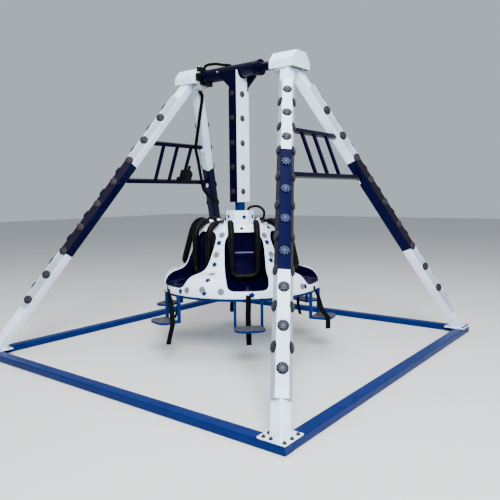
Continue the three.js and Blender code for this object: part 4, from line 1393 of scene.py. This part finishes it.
    def row_points(self, rail: dict[str, Array], a: Array) -> Array:
        """Points of the tub at distances from the seat's middle, row by row.

        A row runs straight across, less its bend times how far the skin's circle falls back. The pan has
        a hollow for each thigh and a ridge between them that rises towards the front. The back is hollowed
        across by a parabola.
        """
        r, z = rail["radius"][:, None], rail["height"][:, None]
        fall = r - np.sqrt(np.maximum(r**2 - a**2, 0))
        x = r - rail["bend"][:, None] * fall
        pan = smooth(r, 0.44, 0.56) * smooth(r, 0.793, 0.755) * (z < 0.8)
        hollow = -self.thigh_depth * np.exp(-(((np.abs(a) - self.thigh_apart) / self.thigh_wide) ** 2))
        ridge = self.ridge_height * np.exp(-((a / (0.020 + 0.05 * (0.8 - r))) ** 2)) * smooth(r, 0.60, 0.74)
        back = smooth(z, 0.86, 0.93) * smooth(z, 1.17, 1.08)
        x = x - back * self.back_hollow * (1 - np.minimum(np.abs(a) / 0.12, 1) ** 2)
        return np.stack([x, np.broadcast_to(a, x.shape), z + pan * (hollow + ridge)], -1)

    def seat_half(self) -> tuple[Array, Array, Array]:
        """Half a seat from its middle to its edge.

        Across a row the tub runs level to a curve, up the wall, and over half of the lip's curve.

        Returns:
            The seat's points by row and column, the opening's edge on the skin, and the lip's reach.
        """
        rail = self.rail()
        half = rail["half"][:, None]
        corner = self.row_points(rail, half)[:, 0]
        edge = self.bell.at(rail["edge"][:, 0], rail["edge"][:, 1])
        wall = edge - corner
        length = np.linalg.norm(wall, axis=-1, keepdims=True)
        wall_way = wall / np.maximum(length, 1e-9)
        soft = np.minimum(self.soft_corner, 0.45 * length)
        lip = np.minimum(self.lip, 0.3 * length)
        flat = self.row_points(rail, np.linspace(0, 1, self.flat_cols)[None] * (half - soft))
        start, stop = flat[:, -1], corner + wall_way * soft
        curve = curved(start, corner, stop, np.linspace(0, 1, self.curve_cols + 1)[1:])
        top = edge - wall_way * lip
        t = np.linspace(0, 1, self.wall_cols + 1)[None, 1:, None]
        side = stop[:, None] + (top - stop)[:, None] * t
        out = self.on_skin(rail["edge"], self.away(rail["edge"]) * lip)
        middle = 0.25 * top + 0.5 * edge + 0.25 * out
        over = curved(top, 0.5 * (top + edge), middle, np.linspace(0, 1, 5)[1:])
        return np.concatenate([flat, curve, side, over], axis=1), rail["edge"], lip

    def away(self, edge: Array) -> Array:
        """Unit steps on the developed skin, square to an edge line and away from the opening."""
        flat = np.stack([edge[:, 0] * self.bell.radius_on(edge[:, 1]), edge[:, 1]], -1)
        way = unit(np.gradient(flat, axis=0))
        return np.stack([way[:, 1], -way[:, 0]], -1)

    def on_skin(self, edge: Array, step: Array) -> Array:
        """Skin points at an edge line moved by steps in metres."""
        radius = self.bell.radius_on(edge[:, 1])
        return self.bell.at(edge[:, 0] + step[:, 0] / radius, edge[:, 1] + step[:, 1])

    def white_half(self) -> Surface:
        """Half a sector of the white skin, from a seat's edge out to the line between two seats.

        Lines run from the opening's edge over the lip and on, straight on the developed skin, to a border
        made of the rim line, the line between two seats and the top circle.
        """
        bell = self.bell
        seat, side_edge, lip = self.seat_half()
        top = math.pi / self.seats
        flat = np.linspace(0, 1, self.flat_cols + self.curve_cols + self.wall_cols + 4)
        low_row, high_row = seat[0], seat[-1]
        low, high = (np.stack([np.arctan2(row[:, 1], row[:, 0]), bell.run_at(row[:, 2])], -1)
                     for row in (low_row, high_row[::-1]))
        edge = np.concatenate([low[:-1], side_edge, high[1:]])
        inner = np.concatenate([low_row[:-1], seat[:, -1], high_row[::-1][1:]])
        reach = np.concatenate([np.zeros(len(low) - 1), lip[:, 0], np.zeros(len(high) - 1)])
        run_low, run_high = bell.run_at(self.border_low), bell.run[-1]
        share = (side_edge[:, 1] - side_edge[0, 1]) / np.ptp(side_edge[:, 1])
        border = np.concatenate([
            np.stack([flat[:-1] * top, np.full(len(flat) - 1, run_low)], -1),
            np.stack([np.full(self.rows, top), run_low + (run_high - run_low) * share], -1),
            np.stack([flat[::-1][1:] * top, np.full(len(flat) - 1, run_high)], -1),
        ])
        radius = bell.radius_on(edge[:, 1])
        step = self.away(edge) * np.maximum(reach, self.least_reach)[:, None]
        outer = edge + step / np.stack([radius, np.ones_like(radius)], -1)
        end = bell.at(*outer.T)
        over = curved(inner, 0.5 * (bell.at(*edge.T) + end), end, np.linspace(0, 1, 5)[:-1])
        t = np.linspace(0, 1, 22)[None, :, None] ** 1.2
        plan = (1 - t) * outer[:, None] + t * border[:, None]
        skin = bell.at(plan[..., 0], plan[..., 1])
        made = grid(np.concatenate([over, skin], axis=1))
        angle = flat * top
        rim = bell.at(angle[None], np.linspace(0, run_low, 14)[:, None])
        ring = grid(np.concatenate([swept(self.under_rim[::-1], angle), rim]))
        crown_radius, crown_z = bell.knots[-1][0], bell.line[-1, 1]
        cap = swept([(crown_radius * share, crown_z) for share in (1, 0.5, 0)], angle)
        return made + ring + grid(cap)

    def shell(self) -> Surface:
        """The white skin all round."""
        half = self.white_half()
        sector = half + half.mirrored(1)
        return joined(sector.turned(self.bearing(number)) for number in range(1, self.seats + 1))

    def seat(self, number: int) -> Surface:
        """One navy seat."""
        made = grid(self.seat_half()[0])
        return (made + made.mirrored(1)).turned(self.bearing(number))

    def figures(self) -> dict[Kind, list]:
        """Where the stars and swirls sit: bearing, height, size and turn, and all again on the far side."""
        found: dict[Kind, list] = {kind: [] for kind in Kind}
        for kind, places in self.stuck.items():
            size = self.star_size if kind is Kind.STAR else self.swirl_size
            for index, (bearing, z) in enumerate(places):
                for far in (0, 180):
                    turn = 0.35 * math.sin(5.0 * index + far)
                    found[kind].append((math.radians(bearing + far), z, size, turn))
        return found

    def star(self) -> Array:
        """A five-pointed star's outline, its radius going back and forth between two values."""
        angle = np.radians(90 + 36 * np.arange(10))
        radius = np.where(np.arange(10) % 2 == 0, 1.0, 0.56)
        return np.stack([radius * np.cos(angle), radius * np.sin(angle)], -1)

    def hoop(self) -> Surface:
        """The round hoop under the rim, a flat bar with eased edges."""
        (inner, outer), (low, top) = self.hoop_radii, self.hoop_heights
        profile = rounded([(inner, low), (outer, low), (outer, top), (inner, top)], 0.004, 3)
        return turned_profile(np.concatenate([profile, profile[:1]]), 180)

    def crown_parts(self) -> None:
        """The crown with its studs and stars."""
        dressed("crown", WHITE, "gondola", 0.0025)
        angle = np.radians(self.stud_first + 360 / self.studs * np.arange(self.studs))
        run = self.bell.run_at(self.stud_height)
        spots = self.bell.at(angle, run)
        normals = unit(self.bell.at(angle, run, 1.0) - spots)
        bases = np.array([basis_of(normal, (0, 0, 1)) for normal in normals])
        heads = turned_profile(self.stud, 20).scattered(bases, spots)
        make("crown_studs", heads, PLASTIC, "gondola")
        flat = np.linspace(0, 1, 3)[:, None, None] * np.pad(self.star(), ((0, 0), (0, 1)))
        star = grid(flat * self.crown_star, wrap=True)
        stars = []
        for number in range(1, self.seats + 1):
            face = math.radians(self.bearing(number))
            normal = np.array([math.cos(face), math.sin(face), 0])
            basis = basis_of(normal, (0.1, 0, 1))
            shift = -self.crown_star_shift if number == self.seats else self.crown_star_shift
            origin = normal * (self.crown_corner * math.cos(math.pi / 6) + 0.0008) + basis[:, 0] * shift
            stars.append(star.placed(basis, origin + (0, 0, self.crown_star_height)))
        make("crown_stars", joined(stars), STAR, "gondola", close=False)

    def build(self) -> None:
        """Makes the gondola's fixed pieces."""
        make("gondola_skin", self.shell(), SHELL_WHITE, "gondola", ("gondola_shell",), sharp=50,
             close=False)
        for number in range(1, self.seats + 1):
            make(f"seat_{number}_tub", self.seat(number), SEAT_NAVY, "gondola", (f"seat_{number}",),
                 sharp=60, close=False)
        make("gondola_hoop_bar", self.hoop(), BLUE, "gondola", ("gondola_hoop",))
        figures = self.figures()
        stars = self.bell.decals(figures[Kind.STAR], self.star())
        make("shell_stars", stars, STAR, "gondola", close=False)
        swirls = self.bell.decals(figures[Kind.SWIRL], circle(1.0, 28), rings=4)
        make("shell_swirls", swirls, SWIRL, "gondola", close=False)
        self.crown_parts()


@dataclass
class Restraint:
    """A padded bar that hinges on the crown and comes down in front of a seat.

    Its route is pairs of radius and height, from the hinge to where the bend at its foot begins. The pad's
    joints are shares of the bar's length.
    """

    number: int
    bearing: float
    tilt: float = 0.0
    pivot: tuple[float, float] = (0.300, 1.277)
    half: float = 0.122
    bare: float = 0.0135
    pad: float = 0.0308
    pad_thin: float = 0.018
    pad_overlap: float = 0.03
    pad_ends: tuple[float, float] = (0.036, 0.074)
    route: tuple = (
        (0.300, 1.277), (0.345, 1.270), (0.373, 1.2575), (0.400, 1.243), (0.426, 1.217), (0.443, 1.183),
        (0.452, 1.140), (0.455, 1.080), (0.456, 0.980), (0.457, 0.900), (0.458, 0.838),
    )
    foot_radius: float = 0.070
    foot_drop: float = 0.070
    foot_reach: float = 0.004
    pad_joints: tuple[float, float, float] = (0.16, 0.5, 0.84)
    sleeve: tuple = ((0, -0.022), (0.0135, -0.022), (0.015, -0.0205), (0.015, 0.0205), (0.0135, 0.022), (0, 0.022))

    def path(self) -> Array:
        """The bar's line: down one side, round the foot in a half circle, and up the other side."""
        down = np.array([(r, -self.half, z) for r, z in self.route])
        foot_r, foot_z = self.route[-1]
        angle = np.radians([30, 60, 90])
        share = np.sin(angle)
        a = self.half - self.foot_radius * (1 - np.cos(angle))
        quarter = np.stack([foot_r + self.foot_reach * share, -a, foot_z - self.foot_drop * share], -1)
        flip = np.array([1, -1, 1])
        knots = np.concatenate([down, quarter, (quarter * flip)[::-1], (down * flip)[::-1]])
        return spline(knots, 330)

    def at_rest(self, made: Surface) -> Surface:
        """A surface tilted about the hinge as the bar rests, and turned to its seat."""
        c, s = math.cos(math.radians(self.tilt)), math.sin(math.radians(self.tilt))
        basis = np.array([[c, 0, -s], [0, 1, 0], [s, 0, c]])
        pivot = np.array([self.pivot[0], 0, self.pivot[1]])
        return made.placed(basis, pivot - basis @ pivot).turned(self.bearing)

    def foam(self) -> Surface:
        """The foam sleeve: a round section that swells a little, pinches at joints and thins to its ends."""
        path = self.path()
        run = travelled(path)
        total = run[-1]
        ends = np.minimum(run, total - run)
        low, high = self.pad_ends
        keep = ends >= low
        path, run, ends = path[keep], run[keep], ends[keep]
        rng = np.random.default_rng(40 + self.number)
        phase = rng.uniform(0, 6.28, 4)
        swell = 1 + 0.012 * np.sin(run * 31 + phase[0]) + 0.010 * np.sin(run * 83 + phase[1])
        for joint in self.pad_joints:
            swell = swell - 0.05 * np.exp(-(((run - joint * total) / 0.004) ** 2))
        grown = self.pad + (self.pad_thin - self.pad) * (1 - smooth(ends, low, high))
        taper = np.sqrt(np.clip((ends - low) / 0.005, 0.04, 1))
        angle = np.linspace(0, 2 * math.pi, 32, endpoint=False)
        dents = 1 + 0.012 * np.sin(3 * angle[None] + run[:, None] * 24 + phase[2])
        radius = (grown * swell * taper)[:, None] * dents
        outline = np.stack([radius * np.cos(angle), radius * np.sin(angle)], -1)
        return self.at_rest(sweep(path, outline, (0, 1, 0)))

    def arms(self) -> Surface:
        """The two bare ends of the bent tube, from the hinge sleeves into the foam."""
        path = self.path()
        run = travelled(path)
        reach = self.pad_ends[0] + self.pad_overlap
        first, last = path[run < reach], path[run > run[-1] - reach]
        outline = circle(self.bare, 20)
        return self.at_rest(sweep(first, outline, (0, 1, 0)) + sweep(last, outline, (0, 1, 0)))

    def hinges(self) -> Surface:
        """The sleeves on the crown's pins, with a bolt head at each outer end."""
        made = []
        x, z = self.pivot
        sleeve = turned_profile(self.sleeve, 28)
        basis = np.array([[1, 0, 0], [0, 0, -1], [0, 1, 0]], float)
        for side in (-1, 1):
            made.append(sleeve.placed(basis, (x, side * self.half, z)))
            made.append(bolts((x, side * (self.half + 0.0225), z), (0, side, 0), 0.016, False))
        return self.at_rest(joined(made))

    def build(self) -> None:
        """Makes the bar."""
        body = f"restraint_{self.number}"
        foam = make(f"{body}_foam", self.foam(), FOAM, body, (body,), sharp=60)
        make(f"{body}_arms", self.arms(), PLASTIC, body)
        make(f"{body}_hinges", self.hinges(), PLASTIC, body)


@dataclass
class Footrest:
    """Two posts welded to the hoop and a framed tread plate with cut corners, for one seat.

    The plan is pairs of radius and distance across, for half of the plate.
    """

    number: int
    bearing: float
    half: float = 0.1205
    post: float = 0.025
    post_from: float = 0.7745
    post_to: float = 0.8036
    plan: tuple = ((0.787, 0.130), (0.930, 0.137), (0.972, 0.100), (0.985, 0.055))
    top: float = 0.368
    depth: float = 0.020
    wall: float = 0.005
    tread_low: float = 0.006
    tread_high: float = 0.0036
    dish: float = 0.0024
    hoop_low: float = 0.606
    hoop_radius: float = 0.7862
    weld_heights: tuple = (0.606, 0.588, 0.584, 0.584, 0.588, 0.606)
    weld: float = 0.003

    def outline(self, inset: float = 0.0) -> Array:
        """The plate's closed outline with eased corners, moved inwards."""
        corners = [(r, -a) for r, a in self.plan] + [(r, a) for r, a in self.plan[::-1]]
        line = rounded(corners, 0.014, 5)
        way = unit(np.roll(line, -1, axis=0) - np.roll(line, 1, axis=0))
        return line + inset * np.stack([-way[:, 1], way[:, 0]], -1)

    def frame(self) -> Surface:
        """Posts and the flat bar round the plate, with the welds at the hoop."""
        low = self.top - self.depth
        outer, inner = self.outline(), self.outline(self.wall)
        rows = [(outer, low), (outer, self.top), (inner, self.top), (inner, low), (outer, low)]
        made = grid(np.array([np.column_stack([line, np.full(len(line), z)]) for line, z in rows]), wrap=True)
        half = self.post / 2
        for side in (-1, 1):
            y = side * self.half
            made = made + bar((self.post_from, y - half, low), (self.post_to, y + half, self.hoop_low), 0.004)
            across = y + side * (half + 0.001) * np.repeat([-1, 1], 3)
            line = np.stack([np.sqrt(self.hoop_radius**2 - across**2), across, self.weld_heights], -1)
            made = made + bead(line, self.weld, (1, 0, 0), 60 + self.number)
        return made.turned(self.bearing)

    def plate(self) -> Surface:
        """The tread plate inside the bar, a little dished by use, as a closed lens with its own map."""
        edge = self.outline(self.wall + 0.0003)
        middle = edge.mean(axis=0)
        under, over = np.linspace(0, 1, 6), np.linspace(1, 0, 14)
        share = np.concatenate([under, over])
        flat = middle + share[:, None, None] * (edge - middle)
        level = np.full(len(under), self.top - self.tread_low)
        height = np.concatenate([level, self.top - self.tread_high + self.dish * over**2])
        points = np.concatenate([flat, np.broadcast_to(height[:, None, None], (*flat.shape[:2], 1))], axis=-1)
        return grid(points, wrap=True, uv=flat).turned(self.bearing)

    def build(self) -> None:
        """Makes the footrest."""
        node = f"footrest_{self.number}"
        make(f"{node}_frame", self.frame(), BLUE, "gondola", (node,), bevel=0.001)
        make(f"{node}_tread", self.plate(), TREAD, "gondola")


@dataclass(frozen=True)
class Lie:
    """How a belt lies: its line as radius, distance across the seat and height, and its twist in degrees."""

    route: tuple
    twist: float = 0.0


HANGING = Lie(((0.8023, 0, 0.648), (0.803, 0, 0.604), (0.783, 0, 0.520), (0.768, 0, 0.420), (0.768, 0, 0.330),
               (0.782, 0, 0.262), (0.806, 0, 0.196)))
# The belts that lie in a way of their own, by seat
LIES = {
    2: Lie(((0.8019, -0.050, 0.655), (0.8023, -0.050, 0.638), (0.820, -0.057, 0.603), (0.8465, -0.068, 0.564),
            (0.870, -0.083, 0.499), (0.896, -0.098, 0.436), (0.922, -0.107, 0.406), (0.945, -0.113, 0.387),
            (0.9545, -0.117, 0.376), (0.9588, -0.118, 0.362), (0.9592, -0.118, 0.340), (0.9592, -0.118, 0.310),
            (0.9584, -0.1174, 0.267)), 48),
    4: Lie(((0.8023, 0, 0.648), (0.803, 0.002, 0.604), (0.783, 0.014, 0.520), (0.768, 0.030, 0.420),
            (0.768, 0.040, 0.330), (0.782, 0.045, 0.250), (0.798, 0.046, 0.163))),
    6: Lie(((0.8018, -0.050, 0.648), (0.8023, -0.048, 0.628), (0.8045, -0.035, 0.590), (0.818, 0.014, 0.536),
            (0.832, 0.055, 0.488), (0.850, 0.100, 0.423), (0.861, 0.128, 0.388), (0.866, 0.140, 0.365),
            (0.872, 0.1435, 0.340), (0.8785, 0.143, 0.315), (0.893, 0.134, 0.249), (0.908, 0.124, 0.164)), -90),
}


@dataclass
class Belt:
    """A flat belt from its anchor on the rim, hanging down past the footrest or lying over its edge."""

    number: int
    bearing: float
    lie: Lie
    half: float = 0.024
    thickness: float = 0.0036
    anchor_x: tuple[float, float] = (0.8044, 0.8062)
    anchor_z: float = 0.640

    def strap(self) -> Surface:
        """The strap: a flat section carried down its line, turned as it goes, with a folded end."""
        line = spline(self.lie.route, 110)
        run = travelled(line)
        share = run / run[-1]
        rng = np.random.default_rng(70 + self.number)
        wander = np.interp(share, np.linspace(0, 1, 6), np.concatenate([[0, 0], rng.uniform(-0.003, 0.003, 4)]))
        line[:, 1] += wander * (self.lie.twist == 0)
        turn = math.radians(self.lie.twist) * smooth(share, 0.06, 0.5)
        side = np.stack([np.sin(turn), np.cos(turn), np.zeros_like(turn)], -1)
        across = np.linspace(-1, 1, 9)
        thick = self.thickness / 2 * (1 + 0.8 * (run > run[-1] - 0.05))[:, None]
        curl = 0.0012 * across[None] ** 2 * np.sin(run * 17 + self.number)[:, None]
        upper = np.stack([np.broadcast_to(across * self.half, curl.shape), curl + thick], -1)
        lower = np.stack([np.broadcast_to(across[::-1] * self.half, curl.shape), curl[:, ::-1] - thick], -1)
        section = np.concatenate([upper, lower], axis=1)
        uv = np.stack([section[..., 0], np.broadcast_to(run[:, None], section.shape[:2])], -1)
        return sweep(line, section, side, uv=uv).turned(self.bearing)

    def anchor(self) -> Surface:
        """The plate and screw that hold the strap to the rim."""
        (low, high), across = self.anchor_x, self.lie.route[0][1]
        outline = rounded(rectangle(0.020, 0.008), 0.003)
        plate = prism(outline, ALONG_X, (low, across, self.anchor_z), ((1, 0, 0), low), ((1, 0, 0), high))
        screw = bolts((high, across, self.anchor_z), (1.0, 0, 0), 0.010, False)
        return (plate + screw).turned(self.bearing)

    def build(self) -> None:
        """Makes the belt."""
        node = f"belt_{self.number}"
        make(f"{node}_strap", self.strap(), STRAP, "gondola", (node,), sharp=60)
        make(f"{node}_anchor", self.anchor(), PLASTIC, "gondola", bevel=0.0005)


@dataclass
class Conduit:
    """A black cable or ribbed conduit along a fixed route."""

    name: str
    node: str
    body: str
    radius: float
    route: Any
    side: Any
    ribs: float = 0.0
    rib_depth: float = 0.07

    def build(self) -> None:
        """Makes the conduit: a round section whose radius waves with the ribs."""
        length = travelled(np.array(self.route))[-1]
        count = int(length / (self.ribs / 5)) if self.ribs else 160
        path = spline(self.route, count)
        run = travelled(path)
        depth = self.rib_depth if self.ribs else 0.0
        wave = 1 - depth * (0.5 - 0.5 * np.cos(2 * math.pi * run / (self.ribs or 1)))
        outline = circle(self.radius, 18)[None] * wave[:, None, None]
        surface = sweep(path, outline, self.side)
        make(self.name, surface, RUBBER, self.body, (self.node,), sharp=70)


@dataclass
class Studio:
    """The pale floor, the soft lights and the camera at the photograph's place."""

    place: tuple[float, float, float] = (3.49663, -4.41489, 1.52895)
    turn: float = 37.39930
    dip: float = 5.668135
    roll: float = -0.60297
    lens: float = 39.86
    sky: Color = (0.80, 0.89, 1.0)
    sky_strength: float = 0.6
    floor_tones: tuple[Color, Color] = ((0.62, 0.61, 0.60), (0.56, 0.55, 0.54))
    # Each lamp's name, place, aim, size, power and colour
    lamps: tuple = (
        ("key", (4.8, -5.3, 5.8), (0, 0, 1.2), 3.0, 1500, (0.91, 0.965, 1.0)),
        ("overhead", (0, -0.5, 7.0), (0, 0, 1.0), 6.0, 500, (1.0, 0.99, 0.97)),
        ("side", (7.0, -1.0, 3.0), (0, 0, 1.2), 3.0, 160, (0.94, 0.97, 1.0)),
    )

    def camera(self) -> None:
        """Sets the camera."""
        data = bpy.data.cameras.new("view")
        data.sensor_width = 36
        data.lens = self.lens
        data.clip_end = 200
        item = linked("view", data)
        item.location = self.place
        yaw, dip, roll = (math.radians(a) for a in (self.turn, self.dip, self.roll))
        item.rotation_mode = "XYZ"
        look = np.array([-math.sin(yaw) * math.cos(dip), math.cos(yaw) * math.cos(dip), -math.sin(dip)])
        right = unit(np.cross(look, (0, 0, 1)))
        up = np.cross(right, look)
        c, s = math.cos(roll), math.sin(roll)
        right, up = c * right + s * up, c * up - s * right
        item.rotation_euler = Matrix(np.stack([right, up, -look], -1).tolist()).to_euler()
        bpy.context.scene.camera = item

    def lamp(self, name: str, place: tuple, aim: tuple, size: float, power: float, color: Color) -> None:
        """Adds one soft square light."""
        data = bpy.data.lights.new(name, "AREA")
        data.shape = "SQUARE"
        data.size = size
        data.energy = power
        data.color = color
        item = linked(name, data)
        item.location = place
        item.rotation_euler = (Vector(aim) - Vector(place)).to_track_quat("-Z", "Y").to_euler()

    def floor(self) -> None:
        """A pale floor with a faint change of tone."""
        span = np.linspace(-30, 30, 5)
        gx, gy = np.meshgrid(span, span, indexing="xy")
        surface = grid(np.stack([gx, gy, np.full_like(gx, -0.0005)], -1))
        mesh = bpy.data.meshes.new("floor")
        mesh.from_pydata(surface.points.tolist(), [], surface.faces[0].tolist())
        item = linked("floor", mesh)
        g = Graph("pale_floor")
        g.paint(base_color=g.mix(*self.floor_tones, g.noise(1.5, 4)), roughness=0.75)
        mesh.materials.append(g.material)

    def build(self) -> None:
        """Makes the stage."""
        self.camera()
        self.floor()
        world = bpy.data.worlds.new("studio")
        world.use_nodes = True
        sky = world.node_tree.nodes["Background"]
        sky.inputs["Color"].default_value = (*self.sky, 1)
        sky.inputs["Strength"].default_value = self.sky_strength
        bpy.context.scene.world = world
        for lamp in self.lamps:
            self.lamp(*lamp)


POWER_ROUTE = (
    (-0.556, 0.048, 2.631), (-0.556, 0.0486, 2.614), (-0.579, 0.1013, 2.580), (-0.6345, 0.1329, 2.453),
    (-0.7265, 0.1849, 2.251), (-0.8135, 0.2389, 2.085), (-0.8315, 0.2579, 2.043), (-0.8695, 0.3319, 1.936),
    (-0.9225, 0.4199, 1.803), (-0.9665, 0.4959, 1.701), (-0.9835, 0.524, 1.660), (-0.9995, 0.570, 1.595),
    (-1.0055, 0.638, 1.541), (-1.0175, 0.708, 1.499), (-1.0312, 0.7854, 1.463),
)
HUB_ROUTE = (
    (-0.450, 0, 2.8326), (-0.450, 0, 2.843), (-0.437, 0, 2.859), (-0.410, 0, 2.868), (-0.373, 0, 2.870),
    (-0.284, 0, 2.862), (-0.206, 0, 2.842), (-0.120, 0, 2.826), (-0.092, 0, 2.812),
)
# The crown conduit runs in one upright plane: its bearing, and pairs of radius and height
CROWN_BEARING = 37.4
CROWN_ROUTE = (
    (0.084, 1.377), (0.085, 1.392), (0.110, 1.410), (0.160, 1.417), (0.208, 1.403), (0.242, 1.362),
    (0.240, 1.312), (0.228, 1.286), (0.227, 1.2646),
)
# Degrees by which these bars rest lifted
REST_TILT = {2: 12.5, 5: 17.0}


def conduits() -> list[Conduit]:
    """The cable in the left rear leg and the two ribbed conduits, the crown's one turned to its bearing."""
    turn = turn_about_z(CROWN_BEARING)
    loop = np.array([(radius, 0, z) for radius, z in CROWN_ROUTE]) @ turn.T
    return [
        Conduit("power_cable_line", "power_cable", "base", 0.018, POWER_ROUTE, (0.929, 0, -0.371)),
        Conduit("hub_conduit_line", "hub_conduit", "arm", 0.0142, HUB_ROUTE, (0, 1, 0), ribs=0.006),
        Conduit("crown_conduit_line", "crown_conduit", "gondola", 0.0132, loop, turn[:, 1], ribs=0.0055),
    ]


def legs() -> list[Leg]:
    """The four legs; the front left one has lost the lowest length of its cover."""
    return [
        Leg("front_right", LegLine(1, -1)),
        Leg("rear_right", LegLine(1, 1)),
        Leg("front_left", LegLine(-1, -1), cover_low=0.45),
        Leg("rear_left", LegLine(-1, 1)),
    ]


def main() -> None:
    """Builds the stage and every sub-assembly."""
    logging.basicConfig(level=logging.INFO, format="%(message)s")
    Studio().build()
    GroundFrame().build()
    for leg in legs():
        leg.build()
    UpperFrame().build()
    Arm().build()
    gondola = Gondola()
    gondola.build()
    for number in range(1, gondola.seats + 1):
        bearing = gondola.bearing(number)
        Restraint(number, bearing, REST_TILT.get(number, 0.0)).build()
        Footrest(number, bearing).build()
        Belt(number, bearing, LIES.get(number, HANGING)).build()
    for conduit in conduits():
        conduit.build()
    dressed("brace_lamp", PLASTIC, "base", 0.003)


if __name__ == "__main__":
    main()
